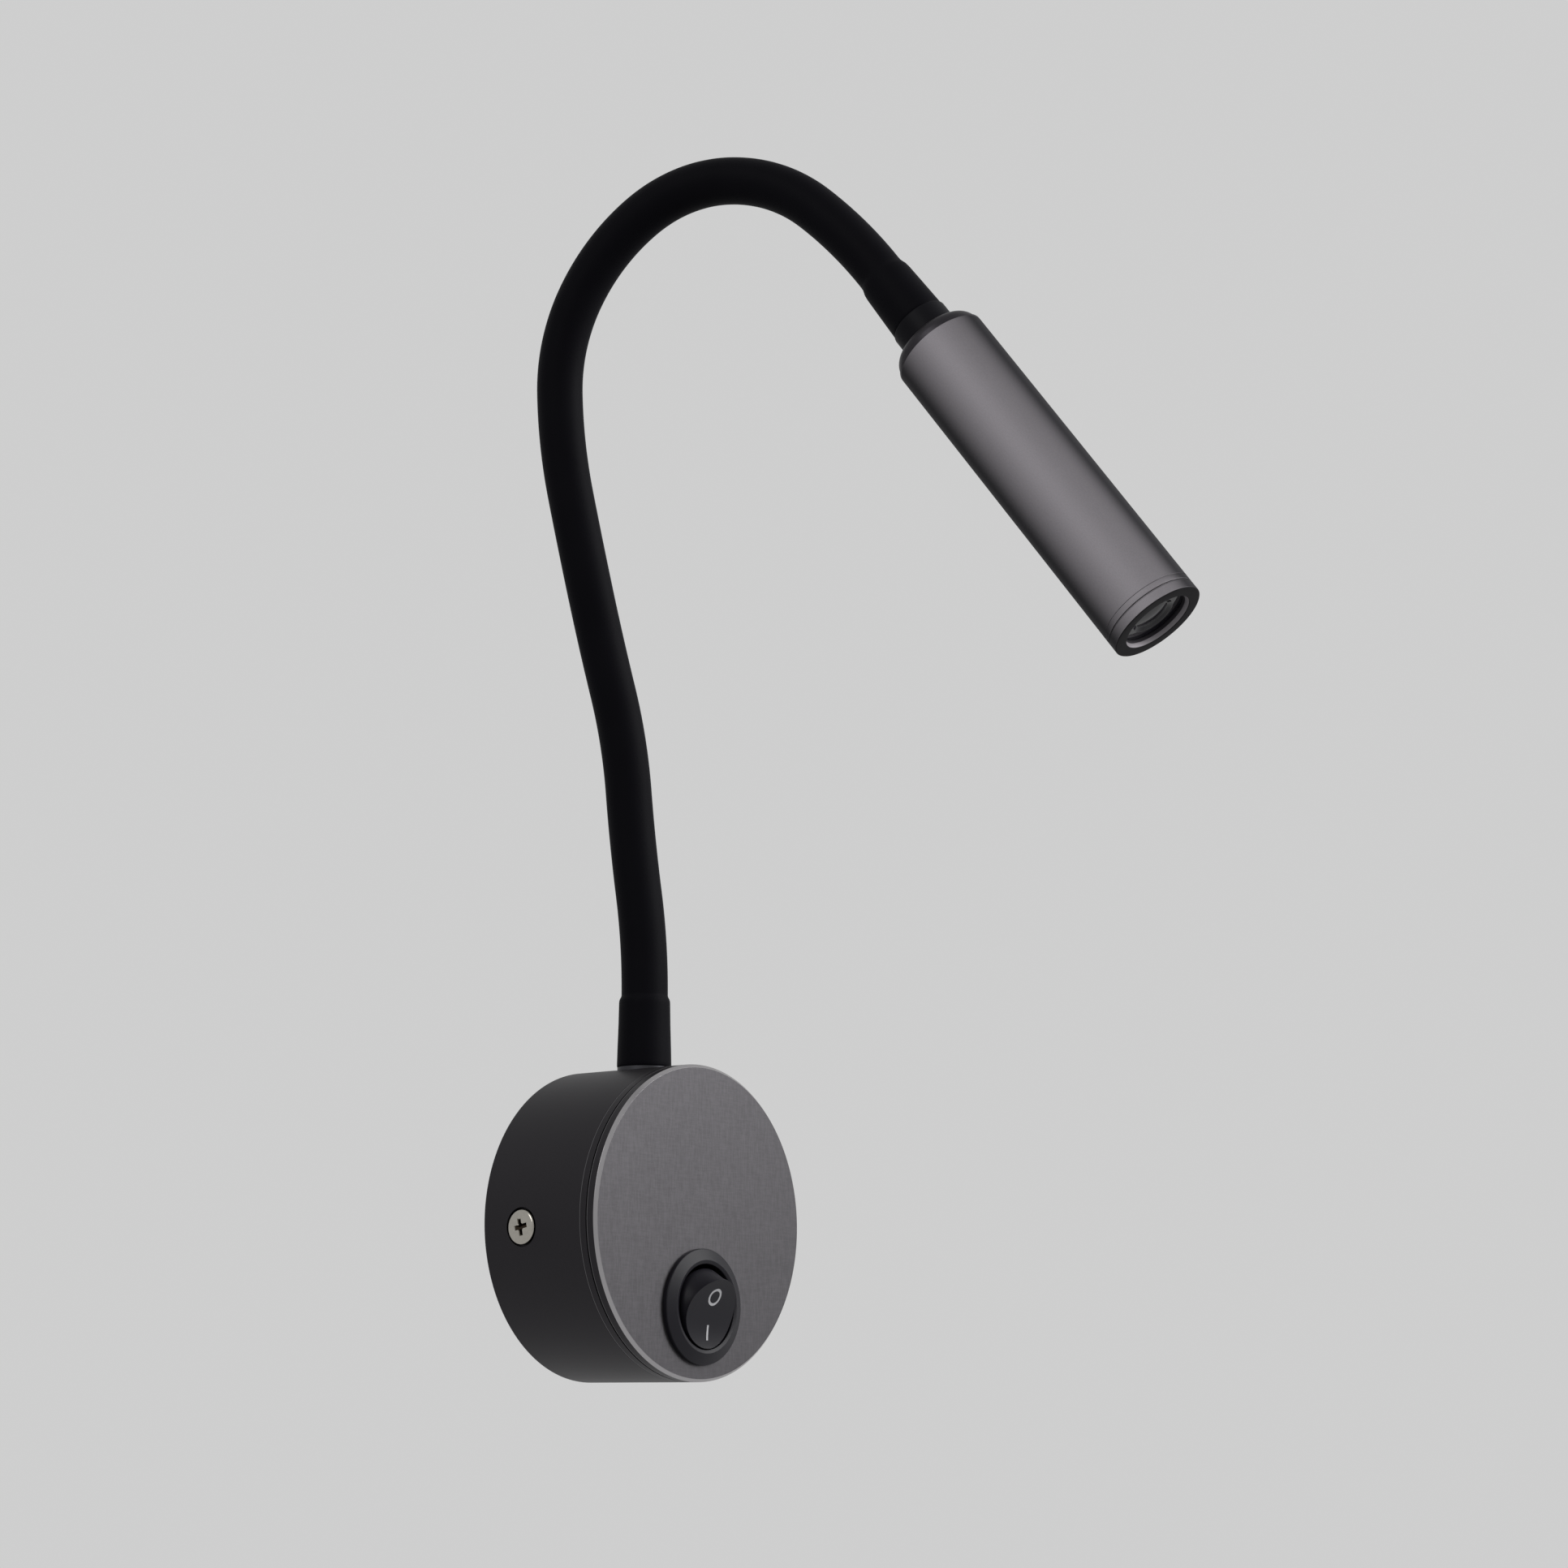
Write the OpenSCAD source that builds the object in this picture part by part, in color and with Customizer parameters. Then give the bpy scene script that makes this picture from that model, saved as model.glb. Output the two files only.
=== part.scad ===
// Reading wall lamp: a round base on the wall, a bendable neck and a slim spot head.
// The origin is the centre of the base's back face, on the wall. +Z is up, -Y points
// out of the wall and +X is to the right, seen from the room.

/* [Base] */
// Outer diameter of the base
base_d = 62; // [56:1:90]
// Depth of the base from the wall to the front face
base_depth = 29.2; // [27:0.1:45]
// Wall thickness of the housing
wall_t = 2.2; // [1.8:0.1:3]
// Depth of the front cover's rim
cover_rim = 4.2; // [3.5:0.1:6]
// Thickness of the front cover's disc
cover_t = 2.5; // [2:0.1:3]
// Polished chamfer round the front edge
rim_chamfer = 0.6; // [0.3:0.1:1]
// Distance of the fine line behind the front face
line_back = 2.3; // [1.5:0.1:2.5]
// Distance of the neck's axis from the wall
neck_out = 14; // [12:0.5:16]

/* [Wall plate] */
// Thickness of the wall plate
plate_t = 1.5; // [1:0.1:2]
// Distance between the two wall screws
slot_spacing = 34; // [30:1:38]
// Width of a wall screw slot
slot_w = 4.2; // [3.6:0.1:5]
// Length of a wall screw slot from end to end
slot_len = 9; // [7:0.5:10]
// Diameter of the supply cable's way through the grommet
cable_way_d = 8; // [6:0.5:9]
// Width of the two lugs that hold the housing
lug_w = 12; // [9:1:16]
// Distance of the side screws from the wall
side_screw_out = 9.9; // [8:0.1:12]
// Distance of the side screws below the base's middle
side_screw_drop = 1.6; // [0:0.1:3]
// Head diameter of a side screw
side_head_d = 6.8; // [6:0.1:8]
// Thread diameter of a side screw
side_screw_d = 3; // [2.5:0.5:4]

/* [Switch] */
// Outer diameter of the switch's flange
bezel_d = 22.6; // [22:0.1:26]
// Height of the flange over the front face
bezel_h = 1.8; // [1.5:0.1:2.5]
// Height of the flange's upright outer edge
lip_t = 0.9; // [0.4:0.1:1]
// Diameter of the switch's hole in the front cover
panel_hole_d = 20; // [19.4:0.1:20.4]
// Distance from the middle of the switch to the base's edge
switch_edge = 14.5; // [14:0.1:16]
// Diameter of the opening round the rocker
opening_d = 16.6; // [16.4:0.1:17]
// Diameter of the rocker's hollowed face
rocker_d = 13.8; // [12:0.1:13.8]
// Radius of the hollow across the rocker's face
face_curve = 18; // [16:1:40]
// Tilt of the rocker from its middle place to either side
rocker_tilt = 17; // [10:1:17]
// Distance from the rocker's hinge to the middle of its face
rocker_reach = 3.7; // [3.4:0.1:4]
// Diameter of the rocker's hinge pins
rocker_pin_d = 2; // [1.6:0.1:2.4]

/* [Neck] */
// Outer diameter of the neck's sleeve
neck_d = 9.4; // [9:0.1:10]
// Wall thickness of the sleeve
sleeve_t = 1; // [0.8:0.05:1.2]
// Bore of the spiral core
core_bore_d = 4.8; // [4.4:0.1:5]
// Length of one link of the neck
link_len = 20.9; // [18:0.1:24]
// Length of the straight lower end, where the sleeve goes over the fitting
foot_len = 15.1; // [13:0.1:18]
// Length of the straight upper end, up to the head
top_len = 19; // [18:0.5:24]
// Length of the collar behind the head
collar_len = 5; // [4:0.5:6]
// Diameter of the sleeve where it is widest over the fittings
bulge_d = 11; // [10.4:0.1:11.8]
// Heading of the arch, turned from straight out of the wall to the right
heading = 12; // [0:1:30]
// Forward bend of each link, in degrees
forward_bend = [-7, 6, -9, 3, 0, 10, 30, 27, 38, 34, 12];
// Lean of each link to the right, in degrees
side_bend = [-3, -5, -3, -2, 2, 2, 2, 0, -2, -2, -2];
// Diameter of one insulated wire
wire_d = 1.7; // [1.4:0.1:1.9]

/* [Head] */
// Outer diameter of the head
head_d = 19; // [18:0.5:24]
// Length of the head
head_len = 74.5; // [70:0.5:90]
// Wall thickness of the head's tube
head_wall = 1.4; // [1.2:0.1:1.6]
// Length of the front ring that shows
ring_len = 2.3; // [1.8:0.1:3]
// Diameter of the light opening
light_d = 14.2; // [13:0.1:14.6]
// Length of the rounded shoulder at the back of the head
shoulder = 2.4; // [2:0.1:4]
// Distance of the lens behind the front edge
lens_back = 1.6; // [1:0.1:2.5]
// Length of the heat sink
sink_len = 24; // [16:1:28]

/* [Hidden] */
$fn = 64;

// Clearances: still fits, running fits, and the room between a ball and its cup
fit = 0.1;
run = 0.05;
cup_gap = 0.25;
// How far a cutting shape runs past the face that it cuts
past = 1;

base_r = base_d / 2;
inner_r = base_r - wall_t;
housing_depth = base_depth - cover_rim;
cover_back = base_depth - cover_t;
plate_r = inner_r - 1.2;

// The flat pad inside the housing's top wall, and the flat seat of the neck on its outside
pad_r = 8;
pad_up = inner_r - 1.8;
seat_up = base_r - 0.5;

side_recess_d = side_head_d + 0.8;
side_recess_t = 1.1;
lug_t = 2;
// A lug's lower corners come nearest to the round wall
lug_corner = lug_w / 2 + side_screw_drop;
lug_gap = 0.3;
lug_out = sqrt(pow(inner_r, 2) - pow(lug_corner, 2)) - lug_gap;
side_screw_tip = lug_out - lug_t - 1.2;

// The driver's board and the parts on it grow and shrink together with the base
board_side_gap = 7.8;
board_w = 2 * (inner_r - board_side_gap);
driver_k = board_w / 42;
board_h = 19 * driver_k;
board_t = 1.6;
switch_drop = base_r - switch_edge;
board_switch_gap = 2.5;
board_up = panel_hole_d / 2 - fit + board_switch_gap + board_h / 2 - switch_drop;

// The board hangs from four posts behind the front cover
post_len = 2.8;
post_d = 4.4;
post_x = board_w / 2 - 3 * driver_k;
post_y = board_h / 2 - 2.8 * driver_k;
board_front = cover_back - post_len;
board_back = board_front - board_t;
board_hole_d = 2.2;
board_screw_bore_r = 1;
board_screw_head_d = 3.8 * driver_k;

// The switch: its hinge lies below the flange's top
switch_r = panel_hole_d / 2 - fit;
bezel_top = base_depth + bezel_h;
face_proud = 0.7;
hinge_sink = rocker_reach * cos(rocker_tilt) - face_proud;
hinge_out = bezel_top - hinge_sink;
cavity_floor = hinge_out - 9.2;
switch_back = cavity_floor - 1.5;
skirt_d = opening_d - 1;
nose_len = 5;
plunger_tip = 6.5;
blade_out = hinge_out - plunger_tip - 0.45;
blade_t = 0.5;
blade_tilt = 8;
blade_len = 11;
terminal_w = 4.8;
terminal_t = 0.8;
terminal_len = 7;
terminal_pitch = 5.6;

// The neck's layers, its ball joints and its end fittings
neck_r = neck_d / 2;
sleeve_bore_r = neck_r - sleeve_t;
core_r = sleeve_bore_r - run;
core_bore_r = core_bore_d / 2;
ball_r = neck_r - 0.05;
cup_r = ball_r + cup_gap;
ball_bore_r = sleeve_bore_r - 0.3;
bulge_r = bulge_d / 2;
barrel_r = sleeve_bore_r + 0.45;
flange_r = bulge_r - 0.1;
flange_t = 0.8;
stud_r = 4;
stud_len = 8.5;
nut_t = 3;
nut_af = 11;
washer_r = 7;
washer_t = 0.6;
links = len(forward_bend);

// Bare stretch of sleeve between a ball joint and the nearest fitting's barrel
barrel_gap = 4;

head_r = head_d / 2;
head_bore_r = head_r - head_wall;
ring_at = head_len - ring_len;
spigot_r = head_bore_r - fit;
spigot_len = 7;
lens_front = head_len - lens_back;
lens_r = light_d / 2 + 0.1;
lens_rim_t = 1.2;
lens_foot_r = 3;
lens_len = 9;
lens_foot = lens_front - lens_len;
chip_size = 3.5;
chip_t = 0.8;
led_board_t = 1.6;
led_board_front = lens_foot - chip_t - 0.3;
led_board_back = led_board_front - led_board_t;
sink_back = led_board_back - sink_len;
sink_r = head_bore_r - fit;
head_stud_len = 9;

// Frames along the neck: each is a 4 x 4 matrix, with its Z along the neck
function turn_z(a) = [
    [cos(a), -sin(a), 0, 0],
    [sin(a), cos(a), 0, 0],
    [0, 0, 1, 0],
    [0, 0, 0, 1]
];
function tilt_y(a) = [
    [cos(a), 0, sin(a), 0],
    [0, 1, 0, 0],
    [-sin(a), 0, cos(a), 0],
    [0, 0, 0, 1]
];
function tip_x(a) = [
    [1, 0, 0, 0],
    [0, cos(a), -sin(a), 0],
    [0, sin(a), cos(a), 0],
    [0, 0, 0, 1]
];
function shift(v) = [
    [1, 0, 0, v[0]],
    [0, 1, 0, v[1]],
    [0, 0, 1, v[2]],
    [0, 0, 0, 1]
];

// Total bend of a link, its direction round the neck, and the radius of its arc
function bend_of(i) = max(1, norm([side_bend[i - 1], forward_bend[i - 1]]));
function way_of(i) = atan2(-forward_bend[i - 1], side_bend[i - 1]);
function arc_r(i) = link_len / bend_of(i) * 180 / PI;

// Where a link has got to after a share t of its length, seen from its own joint
function along_link(i, t) =
    turn_z(way_of(i))
    * shift([arc_r(i) * (1 - cos(t * bend_of(i))), 0, arc_r(i) * sin(t * bend_of(i))])
    * tilt_y(t * bend_of(i))
    * turn_z(-way_of(i));

// The neck leaves the top of the base, and joint 1 lies above the foot
foot_frame = shift([0, -neck_out, base_r]) * turn_z(heading);
function joint_frame(i) =
    i == 1 ? foot_frame * shift([0, 0, foot_len]) : joint_frame(i - 1) * along_link(i - 1, 1);
head_frame = joint_frame(links + 1) * shift([0, 0, top_len]);

// Puts children in the base's working frame: Z out of the wall, Y up
module on_wall(x = 0, up = 0, out = 0) {
    translate([x, -out, up]) rotate([90, 0, 0]) children();
}

// A ring or tube with its back face at z = 0
module tube(r, bore, h) {
    difference() {
        cylinder(r = r, h = h);
        translate([0, 0, -past]) cylinder(r = bore, h = h + 2 * past);
    }
}

// A hexagonal nut with its back face at z = 0
module hex_nut(af, bore, h) {
    difference() {
        cylinder(r = af / sqrt(3), h = h, $fn = 6);
        translate([0, 0, -past]) cylinder(r = bore, h = h + 2 * past);
    }
}

// A screw with its head's seat at z = 0, its thread pointing down and a cross recess
module cross_screw(thread_d, thread_len, head_d, head_t) {
    slot_w = head_d * 0.16;
    slot_l = head_d * 0.6;
    difference() {
        rotate_extrude() polygon([
            [0, -thread_len], [thread_d / 2 - 0.3, -thread_len], [thread_d / 2, 0.3 - thread_len],
            [thread_d / 2, 0], [head_d / 2, 0], [head_d / 2, head_t * 0.55],
            [head_d * 0.36, head_t * 0.9], [head_d * 0.2, head_t], [0, head_t]
        ]);
        for (a = [0, 90]) rotate([0, 0, a])
            translate([-slot_l / 2, -slot_w / 2, head_t * 0.35]) cube([slot_l, slot_w, head_t]);
    }
}

// A closed tube skin through rings of points, one list of points for each ring
module skin(rings) {
    n = len(rings[0]);
    last = len(rings) - 1;
    points = [for (ring = rings) each ring];
    sides = [
        for (i = [0 : last - 1], k = [0 : n - 1])
            each [
                [i * n + k, (i + 1) * n + (k + 1) % n, i * n + (k + 1) % n],
                [i * n + k, (i + 1) * n + k, (i + 1) * n + (k + 1) % n]
            ]
    ];
    ends = [
        for (k = [1 : n - 2])
            each [[0, k, k + 1], [last * n, last * n + k + 1, last * n + k]]
    ];
    polyhedron(points = points, faces = concat(sides, ends));
}

// One ring of a wire: a circle of radius r in a frame, moved sideways by x
function wire_ring(frame, r, x, sides = 8) = [
    for (k = [0 : sides - 1])
        let (a = 360 * k / sides, p = frame * [x + r * cos(a), r * sin(a), 0, 1])
            [p[0], p[1], p[2]]
];

// A round lead through a list of points, mitred at each corner
module lead(points, r, sides = 8) {
    last = len(points) - 1;
    skin([
        for (i = [0 : last])
            let (
                before = points[i] - points[max(i - 1, 0)],
                after = points[min(i + 1, last)] - points[i],
                u = (i == 0 ? after / norm(after) : before / norm(before)),
                v = (i == last ? u : after / norm(after)),
                t = (u + v) / norm(u + v),
                side = abs(t[0]) < 0.9 ? [1, 0, 0] : [0, 1, 0],
                e1 = cross(side, t) / norm(cross(side, t)),
                e2 = cross(t, e1)
            )
            [for (k = [0 : sides - 1]) let (a = 360 * k / sides)
                points[i] + r * cos(a) * e1 + r * sin(a) * e2]
    ]);
}

module slot_hole(len_end, w, h) {
    reach = (len_end - w) / 2;
    translate([-reach, 0, 0]) cylinder(r = w / 2, h = h);
    translate([reach, 0, 0]) cylinder(r = w / 2, h = h);
    translate([-reach, -w / 2, 0]) cube([2 * reach, w, h]);
}

grommet_neck_d = cable_way_d + 3;
grommet_flange_d = grommet_neck_d + 3;

// The steel plate that is screwed to the wall, with two lugs for the side screws
module wall_plate() {
    color("silver") on_wall() difference() {
        union() {
            cylinder(r = plate_r, h = plate_t);
            for (s = [-1, 1])
                translate([s * (lug_out - lug_t / 2) - lug_t / 2, -lug_w / 2 - side_screw_drop, 0])
                    cube([lug_t, lug_w, side_screw_out + 4]);
        }
        for (s = [-1, 1]) {
            translate([s * slot_spacing / 2, 0, -past])
                slot_hole(slot_len, slot_w, plate_t + 2 * past);
            translate([s * (lug_out - lug_t - past), -side_screw_drop, side_screw_out])
                rotate([0, s * 90, 0])
                cylinder(r = side_screw_d / 2 + run, h = lug_t + 2 * past);
        }
        translate([0, 0, -past]) cylinder(r = grommet_neck_d / 2 + run, h = plate_t + 2 * past);
    }
}

// The rubber grommet that the supply cable comes through
module cable_grommet() {
    lip = 1.4;
    color("dimgray") on_wall() rotate_extrude() difference() {
        translate([cable_way_d / 2, 0])
            square([(grommet_flange_d - cable_way_d) / 2, plate_t + lip]);
        translate([grommet_neck_d / 2, -past]) square([grommet_flange_d, plate_t + past]);
    }
}

// The aluminium cup of the base
module base_housing() {
    color("dimgray") difference() {
        union() {
            on_wall() tube(base_r, inner_r, housing_depth);
            intersection() {
                translate([0, -neck_out, pad_up]) cylinder(r = pad_r, h = base_r - pad_up);
                on_wall() cylinder(r = inner_r + wall_t / 2, h = housing_depth);
            }
        }
        translate([0, -neck_out, pad_up - past])
            cylinder(r = stud_r + fit, h = base_r - pad_up + 2 * past);
        translate([0, -neck_out, seat_up]) cylinder(r = bulge_r + 0.5, h = wall_t);
        for (s = [-1, 1]) translate([0, -side_screw_out, -side_screw_drop]) rotate([0, s * 90, 0]) {
            translate([0, 0, inner_r - past]) cylinder(r = side_screw_d / 2 + 0.2, h = wall_t + 2 * past);
            translate([0, 0, base_r - side_recess_t]) cylinder(r = side_recess_d / 2, h = wall_t);
        }
    }
}

// The front cover: a disc with a rim, a spigot into the housing and four board posts
module base_cover() {
    spigot_t = 1.4;
    spigot_len = 3;
    line_w = 0.3;
    line_d = 0.25;
    color("gray") on_wall() difference() {
        union() {
            rotate_extrude() polygon([
                [0, cover_back], [inner_r - fit - spigot_t, cover_back],
                [inner_r - fit - spigot_t, housing_depth - spigot_len],
                [inner_r - fit, housing_depth - spigot_len], [inner_r - fit, housing_depth],
                [base_r, housing_depth], [base_r, base_depth - line_back - line_w],
                [base_r - line_d, base_depth - line_back - line_w],
                [base_r - line_d, base_depth - line_back], [base_r, base_depth - line_back],
                [base_r, base_depth - rim_chamfer], [base_r - rim_chamfer, base_depth],
                [0, base_depth]
            ]);
            for (x = [-post_x, post_x], y = [-post_y, post_y])
                translate([x, board_up + y, board_front]) cylinder(r = post_d / 2, h = post_len + 0.5);
        }
        for (x = [-post_x, post_x], y = [-post_y, post_y])
            translate([x, board_up + y, board_front - past])
                cylinder(r = board_screw_bore_r, h = post_len + past + 0.5);
        translate([0, -switch_drop, cover_back - past])
            cylinder(r = panel_hole_d / 2, h = cover_t + 2 * past);
    }
}

// Two screws through the housing's side into the wall plate's lugs
module side_screws() {
    seat = base_r - side_recess_t;
    color("silver") for (s = [-1, 1])
        translate([s * seat, -side_screw_out, -side_screw_drop]) rotate([0, s * 90, 0])
            cross_screw(side_screw_d, seat - side_screw_tip, side_head_d, 1.5);
}

// The driver's circuit board
module driver_board() {
    color("darkgreen") on_wall(up = board_up) difference() {
        translate([-board_w / 2, -board_h / 2, board_back]) cube([board_w, board_h, board_t]);
        for (x = [-post_x, post_x], y = [-post_y, post_y])
            translate([x, y, board_back - past]) cylinder(r = board_hole_d / 2 + fit, h = board_t + 2 * past);
    }
}

// Four screws that hold the driver board to the cover's posts
module board_screws() {
    color("silver") for (x = [-post_x, post_x], y = [-post_y, post_y])
        translate([x, -board_back, board_up + y]) rotate([-90, 0, 0])
            cross_screw(2 * board_screw_bore_r - fit, board_t + post_len - 0.4, board_screw_head_d, 1.3);
}

// The driver's coil: a round ferrite drum with its winding
module driver_coil() {
    drum_r = 4.6 * driver_k;
    drum_len = 8;
    rim_t = 1.2;
    wound_r = drum_r - 0.9;
    color("darkslategray") on_wall(x = -7 * driver_k, up = board_up)
        translate([0, 0, board_back - drum_len]) rotate_extrude() polygon([
            [0, 0], [drum_r, 0], [drum_r, rim_t], [wound_r, rim_t],
            [wound_r, drum_len - rim_t], [drum_r, drum_len - rim_t], [drum_r, drum_len],
            [0, drum_len]
        ]);
}

// The driver's smoothing capacitor
module driver_capacitor() {
    can_r = 4 * driver_k;
    can_len = 10;
    color("black") on_wall(x = 4 * driver_k, up = board_up) translate([0, 0, board_back - can_len])
        rotate_extrude() polygon([
            [0, 0], [can_r - 0.5, 0], [can_r, 0.5], [can_r, can_len - 2], [can_r - 0.4, can_len - 1.6],
            [can_r - 0.4, can_len - 1.2], [can_r, can_len - 0.8], [can_r, can_len], [0, can_len]
        ]);
}

// The driver's control chip with its two rows of legs
module driver_chip() {
    chip_l = 5;
    chip_w = 4;
    chip_h = 1.6;
    color("black") on_wall(x = 12 * driver_k, up = board_up + 2 * driver_k) translate([0, 0, board_back]) {
        translate([-chip_l / 2, -chip_w / 2, -chip_h]) cube([chip_l, chip_w, chip_h - 0.2]);
        for (x = [-1.9, -0.63, 0.63, 1.9], s = [-1, 1])
            translate([x - 0.2, s * (chip_w / 2 + 0.3) - 0.5, -0.4]) cube([0.4, 1, 0.4]);
    }
}

block_x = -15.5 * driver_k;
block_up = board_up - 0.5 * driver_k;
block_w = 6 * driver_k;
block_h = 8 * driver_k;
block_t = 7;
block_pitch = 4 * driver_k;

// The terminal block that the supply cable is clamped in
module terminal_block() {
    color("seagreen") on_wall(x = block_x, up = block_up) translate([0, 0, board_back - block_t])
        difference() {
            translate([-block_w / 2, -block_h / 2, 0]) cube([block_w, block_h, block_t]);
            for (y = [-block_pitch / 2, block_pitch / 2]) {
                translate([0, y, -past]) cylinder(r = 1.4, h = 4 + past);
                translate([0, y, 4.6]) rotate([0, 90, 0]) cylinder(r = 1, h = block_w / 2 + past);
            }
        }
}

// The two clamping screws of the terminal block
module terminal_screws() {
    color("silver") for (y = [-block_pitch / 2, block_pitch / 2])
        on_wall(x = block_x, up = block_up + y) translate([0, 0, board_back - block_t + 0.8])
            difference() {
                cylinder(r = 1.3, h = 3.2);
                translate([-1, -0.25, -past]) cube([2, 0.5, 0.8 + past]);
            }
}

// Two insulated leads from the driver board to the switch's terminals
module switch_leads() {
    top = -(switch_back - terminal_len / 2);
    color("firebrick") for (s = [-1, 1]) {
        tab_up = -switch_drop + s * terminal_pitch;
        x = s > 0 ? 8 : 13;
        lead([
            [terminal_w / 2 + run, top, tab_up],
            [x, top, tab_up],
            [x, top, board_up - board_h / 2 + 3],
            [x, 0.3 - board_back, board_up - board_h / 2 + 3]
        ], 0.75);
    }
}

// The switch's body with its flange and the cavity that the rocker sits in
module switch_housing() {
    clip_w = 5;
    clip_t = 0.5;
    clip_len = 2.3;
    color([0.1, 0.1, 0.11]) on_wall(up = -switch_drop) difference() {
        union() {
            rotate_extrude() polygon([
                [0, switch_back], [switch_r, switch_back], [switch_r, base_depth],
                [bezel_d / 2, base_depth], [bezel_d / 2, base_depth + lip_t - 0.1],
                [bezel_d / 2 - 0.2, base_depth + lip_t],
                [opening_d / 2 + 0.5, bezel_top], [0, bezel_top]
            ]);
            for (s = [-1, 1]) translate([s * switch_r - clip_t, -clip_w / 2, cover_back - clip_len - fit])
                cube([2 * clip_t, clip_w, clip_len]);
        }
        translate([0, 0, cavity_floor]) cylinder(r = opening_d / 2, h = bezel_top);
        translate([0.3 - switch_r, 0, hinge_out]) rotate([0, 90, 0])
            cylinder(r = rocker_pin_d / 2 + run, h = 2 * (switch_r - 0.3));
        for (y = [-terminal_pitch, 0, terminal_pitch])
            translate([-terminal_w / 2 - run, y - terminal_t / 2 - run, switch_back - past])
                cube([terminal_w + 2 * run, terminal_t + 2 * run, cavity_floor - switch_back + 2 * past]);
    }
}

contact_top = 1;
post_top = blade_out - blade_t / 2 - cavity_floor - 0.3;

// The three terminals: the middle one carries the blade, the outer two are its contacts
module switch_terminals() {
    color("goldenrod") on_wall(up = -switch_drop)
        for (y = [-terminal_pitch, 0, terminal_pitch])
            translate([-terminal_w / 2, y - terminal_t / 2, switch_back - terminal_len])
                cube([
                    terminal_w, terminal_t,
                    terminal_len + cavity_floor - switch_back + (y == 0 ? post_top : contact_top)
                ]);
}

// The blade that rocks on the middle terminal
module switch_blade() {
    blade_w = 4;
    color("goldenrod") on_wall(up = -switch_drop, out = blade_out) rotate([-blade_tilt, 0, 0])
        translate([-blade_w / 2, -blade_len / 2, -blade_t / 2]) cube([blade_w, blade_len, blade_t]);
}

// Puts children in the rocker's own frame: Z along its axis, tilted to the pressed-in lower half
module on_rocker() {
    on_wall(up = -switch_drop, out = hinge_out) rotate([rocker_tilt, 0, 0]) children();
}

ring_mark_r = 1.8;
ring_mark_up = 3.1;
mark_w = 0.55;
mark_t = 0.3;
bar_mark_len = 2.9;
bar_mark_up = -3.95;
spring_bore_r = 1.25;

// The bar that hollows the rocker's face, or a thicker one
module face_bar(extra = 0) {
    translate([-skirt_d / 2, 0, rocker_reach + face_curve]) rotate([0, 90, 0])
        cylinder(r = face_curve + extra, h = skirt_d, $fn = 192);
}

// The two marks, as deep as they are inlaid and following the hollow, or standing over it
module mark_shapes(over = 0) {
    intersection() {
        union() {
            translate([0, ring_mark_up, rocker_reach - past])
                tube(ring_mark_r, ring_mark_r - mark_w, 2 * past);
            translate([-mark_w / 2, bar_mark_up - bar_mark_len / 2, rocker_reach - past])
                cube([mark_w, bar_mark_len, 3 * past]);
        }
        difference() {
            face_bar(mark_t);
            face_bar(-over);
        }
    }
}

// The rocker: a hollowed face, a flared skirt, hinge pins and a hollow nose
module rocker() {
    face_rise = face_curve - sqrt(pow(face_curve, 2) - pow(rocker_d / 2, 2));
    face_end = rocker_reach + face_rise;
    nose_r = 2.2;
    color([0.12, 0.12, 0.13]) on_rocker() difference() {
        union() {
            rotate_extrude() polygon([
                [0, -nose_len], [nose_r, -nose_len], [nose_r, -1], [skirt_d / 2 - 0.6, -1],
                [skirt_d / 2, 0], [rocker_d / 2, face_end], [0, face_end]
            ]);
            rotate([0, 90, 0]) translate([0, 0, -switch_r + 0.4])
                cylinder(r = rocker_pin_d / 2, h = 2 * switch_r - 0.8);
        }
        translate([0, 0, -nose_len - past]) cylinder(r = spring_bore_r, h = nose_len + past + 2);
        face_bar();
        mark_shapes(over = 0.1);
    }
}

// The inlaid marks: a ring on the upper half and a bar on the lower half
module rocker_marks() {
    color("white") on_rocker() mark_shapes();
}

// The plunger that presses on the blade
module rocker_plunger() {
    tip_r = 0.8;
    color("ivory") on_rocker() rotate_extrude() polygon([
        [0, -plunger_tip], [tip_r, 0.4 - plunger_tip], [spring_bore_r - fit, 1.4 - plunger_tip],
        [spring_bore_r - fit, 1 - nose_len + 0.6], [0, 1 - nose_len + 0.6]
    ]);
}

// The spring behind the plunger
module rocker_spring() {
    coil_wire_r = 0.18;
    coil_r = spring_bore_r - coil_wire_r - 0.12;
    turns = 5;
    steps = 12;
    coil_start = 1.65 - nose_len + coil_wire_r;
    coil_len = 2 - coil_wire_r - 0.03 - coil_start;
    color("silver") on_rocker() skin([
        for (i = [0 : turns * steps])
            let (a = 360 * i / steps, z = coil_start + coil_len * i / (turns * steps))
                wire_ring(turn_z(a) * shift([coil_r, 0, z]) * tip_x(-90), coil_wire_r, 0, 6)
    ]);
}

// The lower end fitting: flange, barrel under the sleeve, core end and threaded stud
module neck_fitting() {
    color("silver") multmatrix(foot_frame) rotate_extrude() difference() {
        polygon([
            [core_bore_r, -stud_len], [stud_r - 0.4, -stud_len], [stud_r, 0.4 - stud_len],
            [stud_r, seat_up - base_r], [flange_r, seat_up - base_r],
            [flange_r, seat_up - base_r + flange_t], [barrel_r, seat_up - base_r + flange_t],
            [barrel_r, foot_len - barrel_gap], [core_r, foot_len - barrel_gap],
            [core_r, foot_len + ball_r],
            [core_bore_r, foot_len + ball_r]
        ]);
        difference() {
            translate([0, foot_len]) square([neck_d, neck_d]);
            translate([0, foot_len]) circle(r = ball_r);
        }
    }
}

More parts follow.
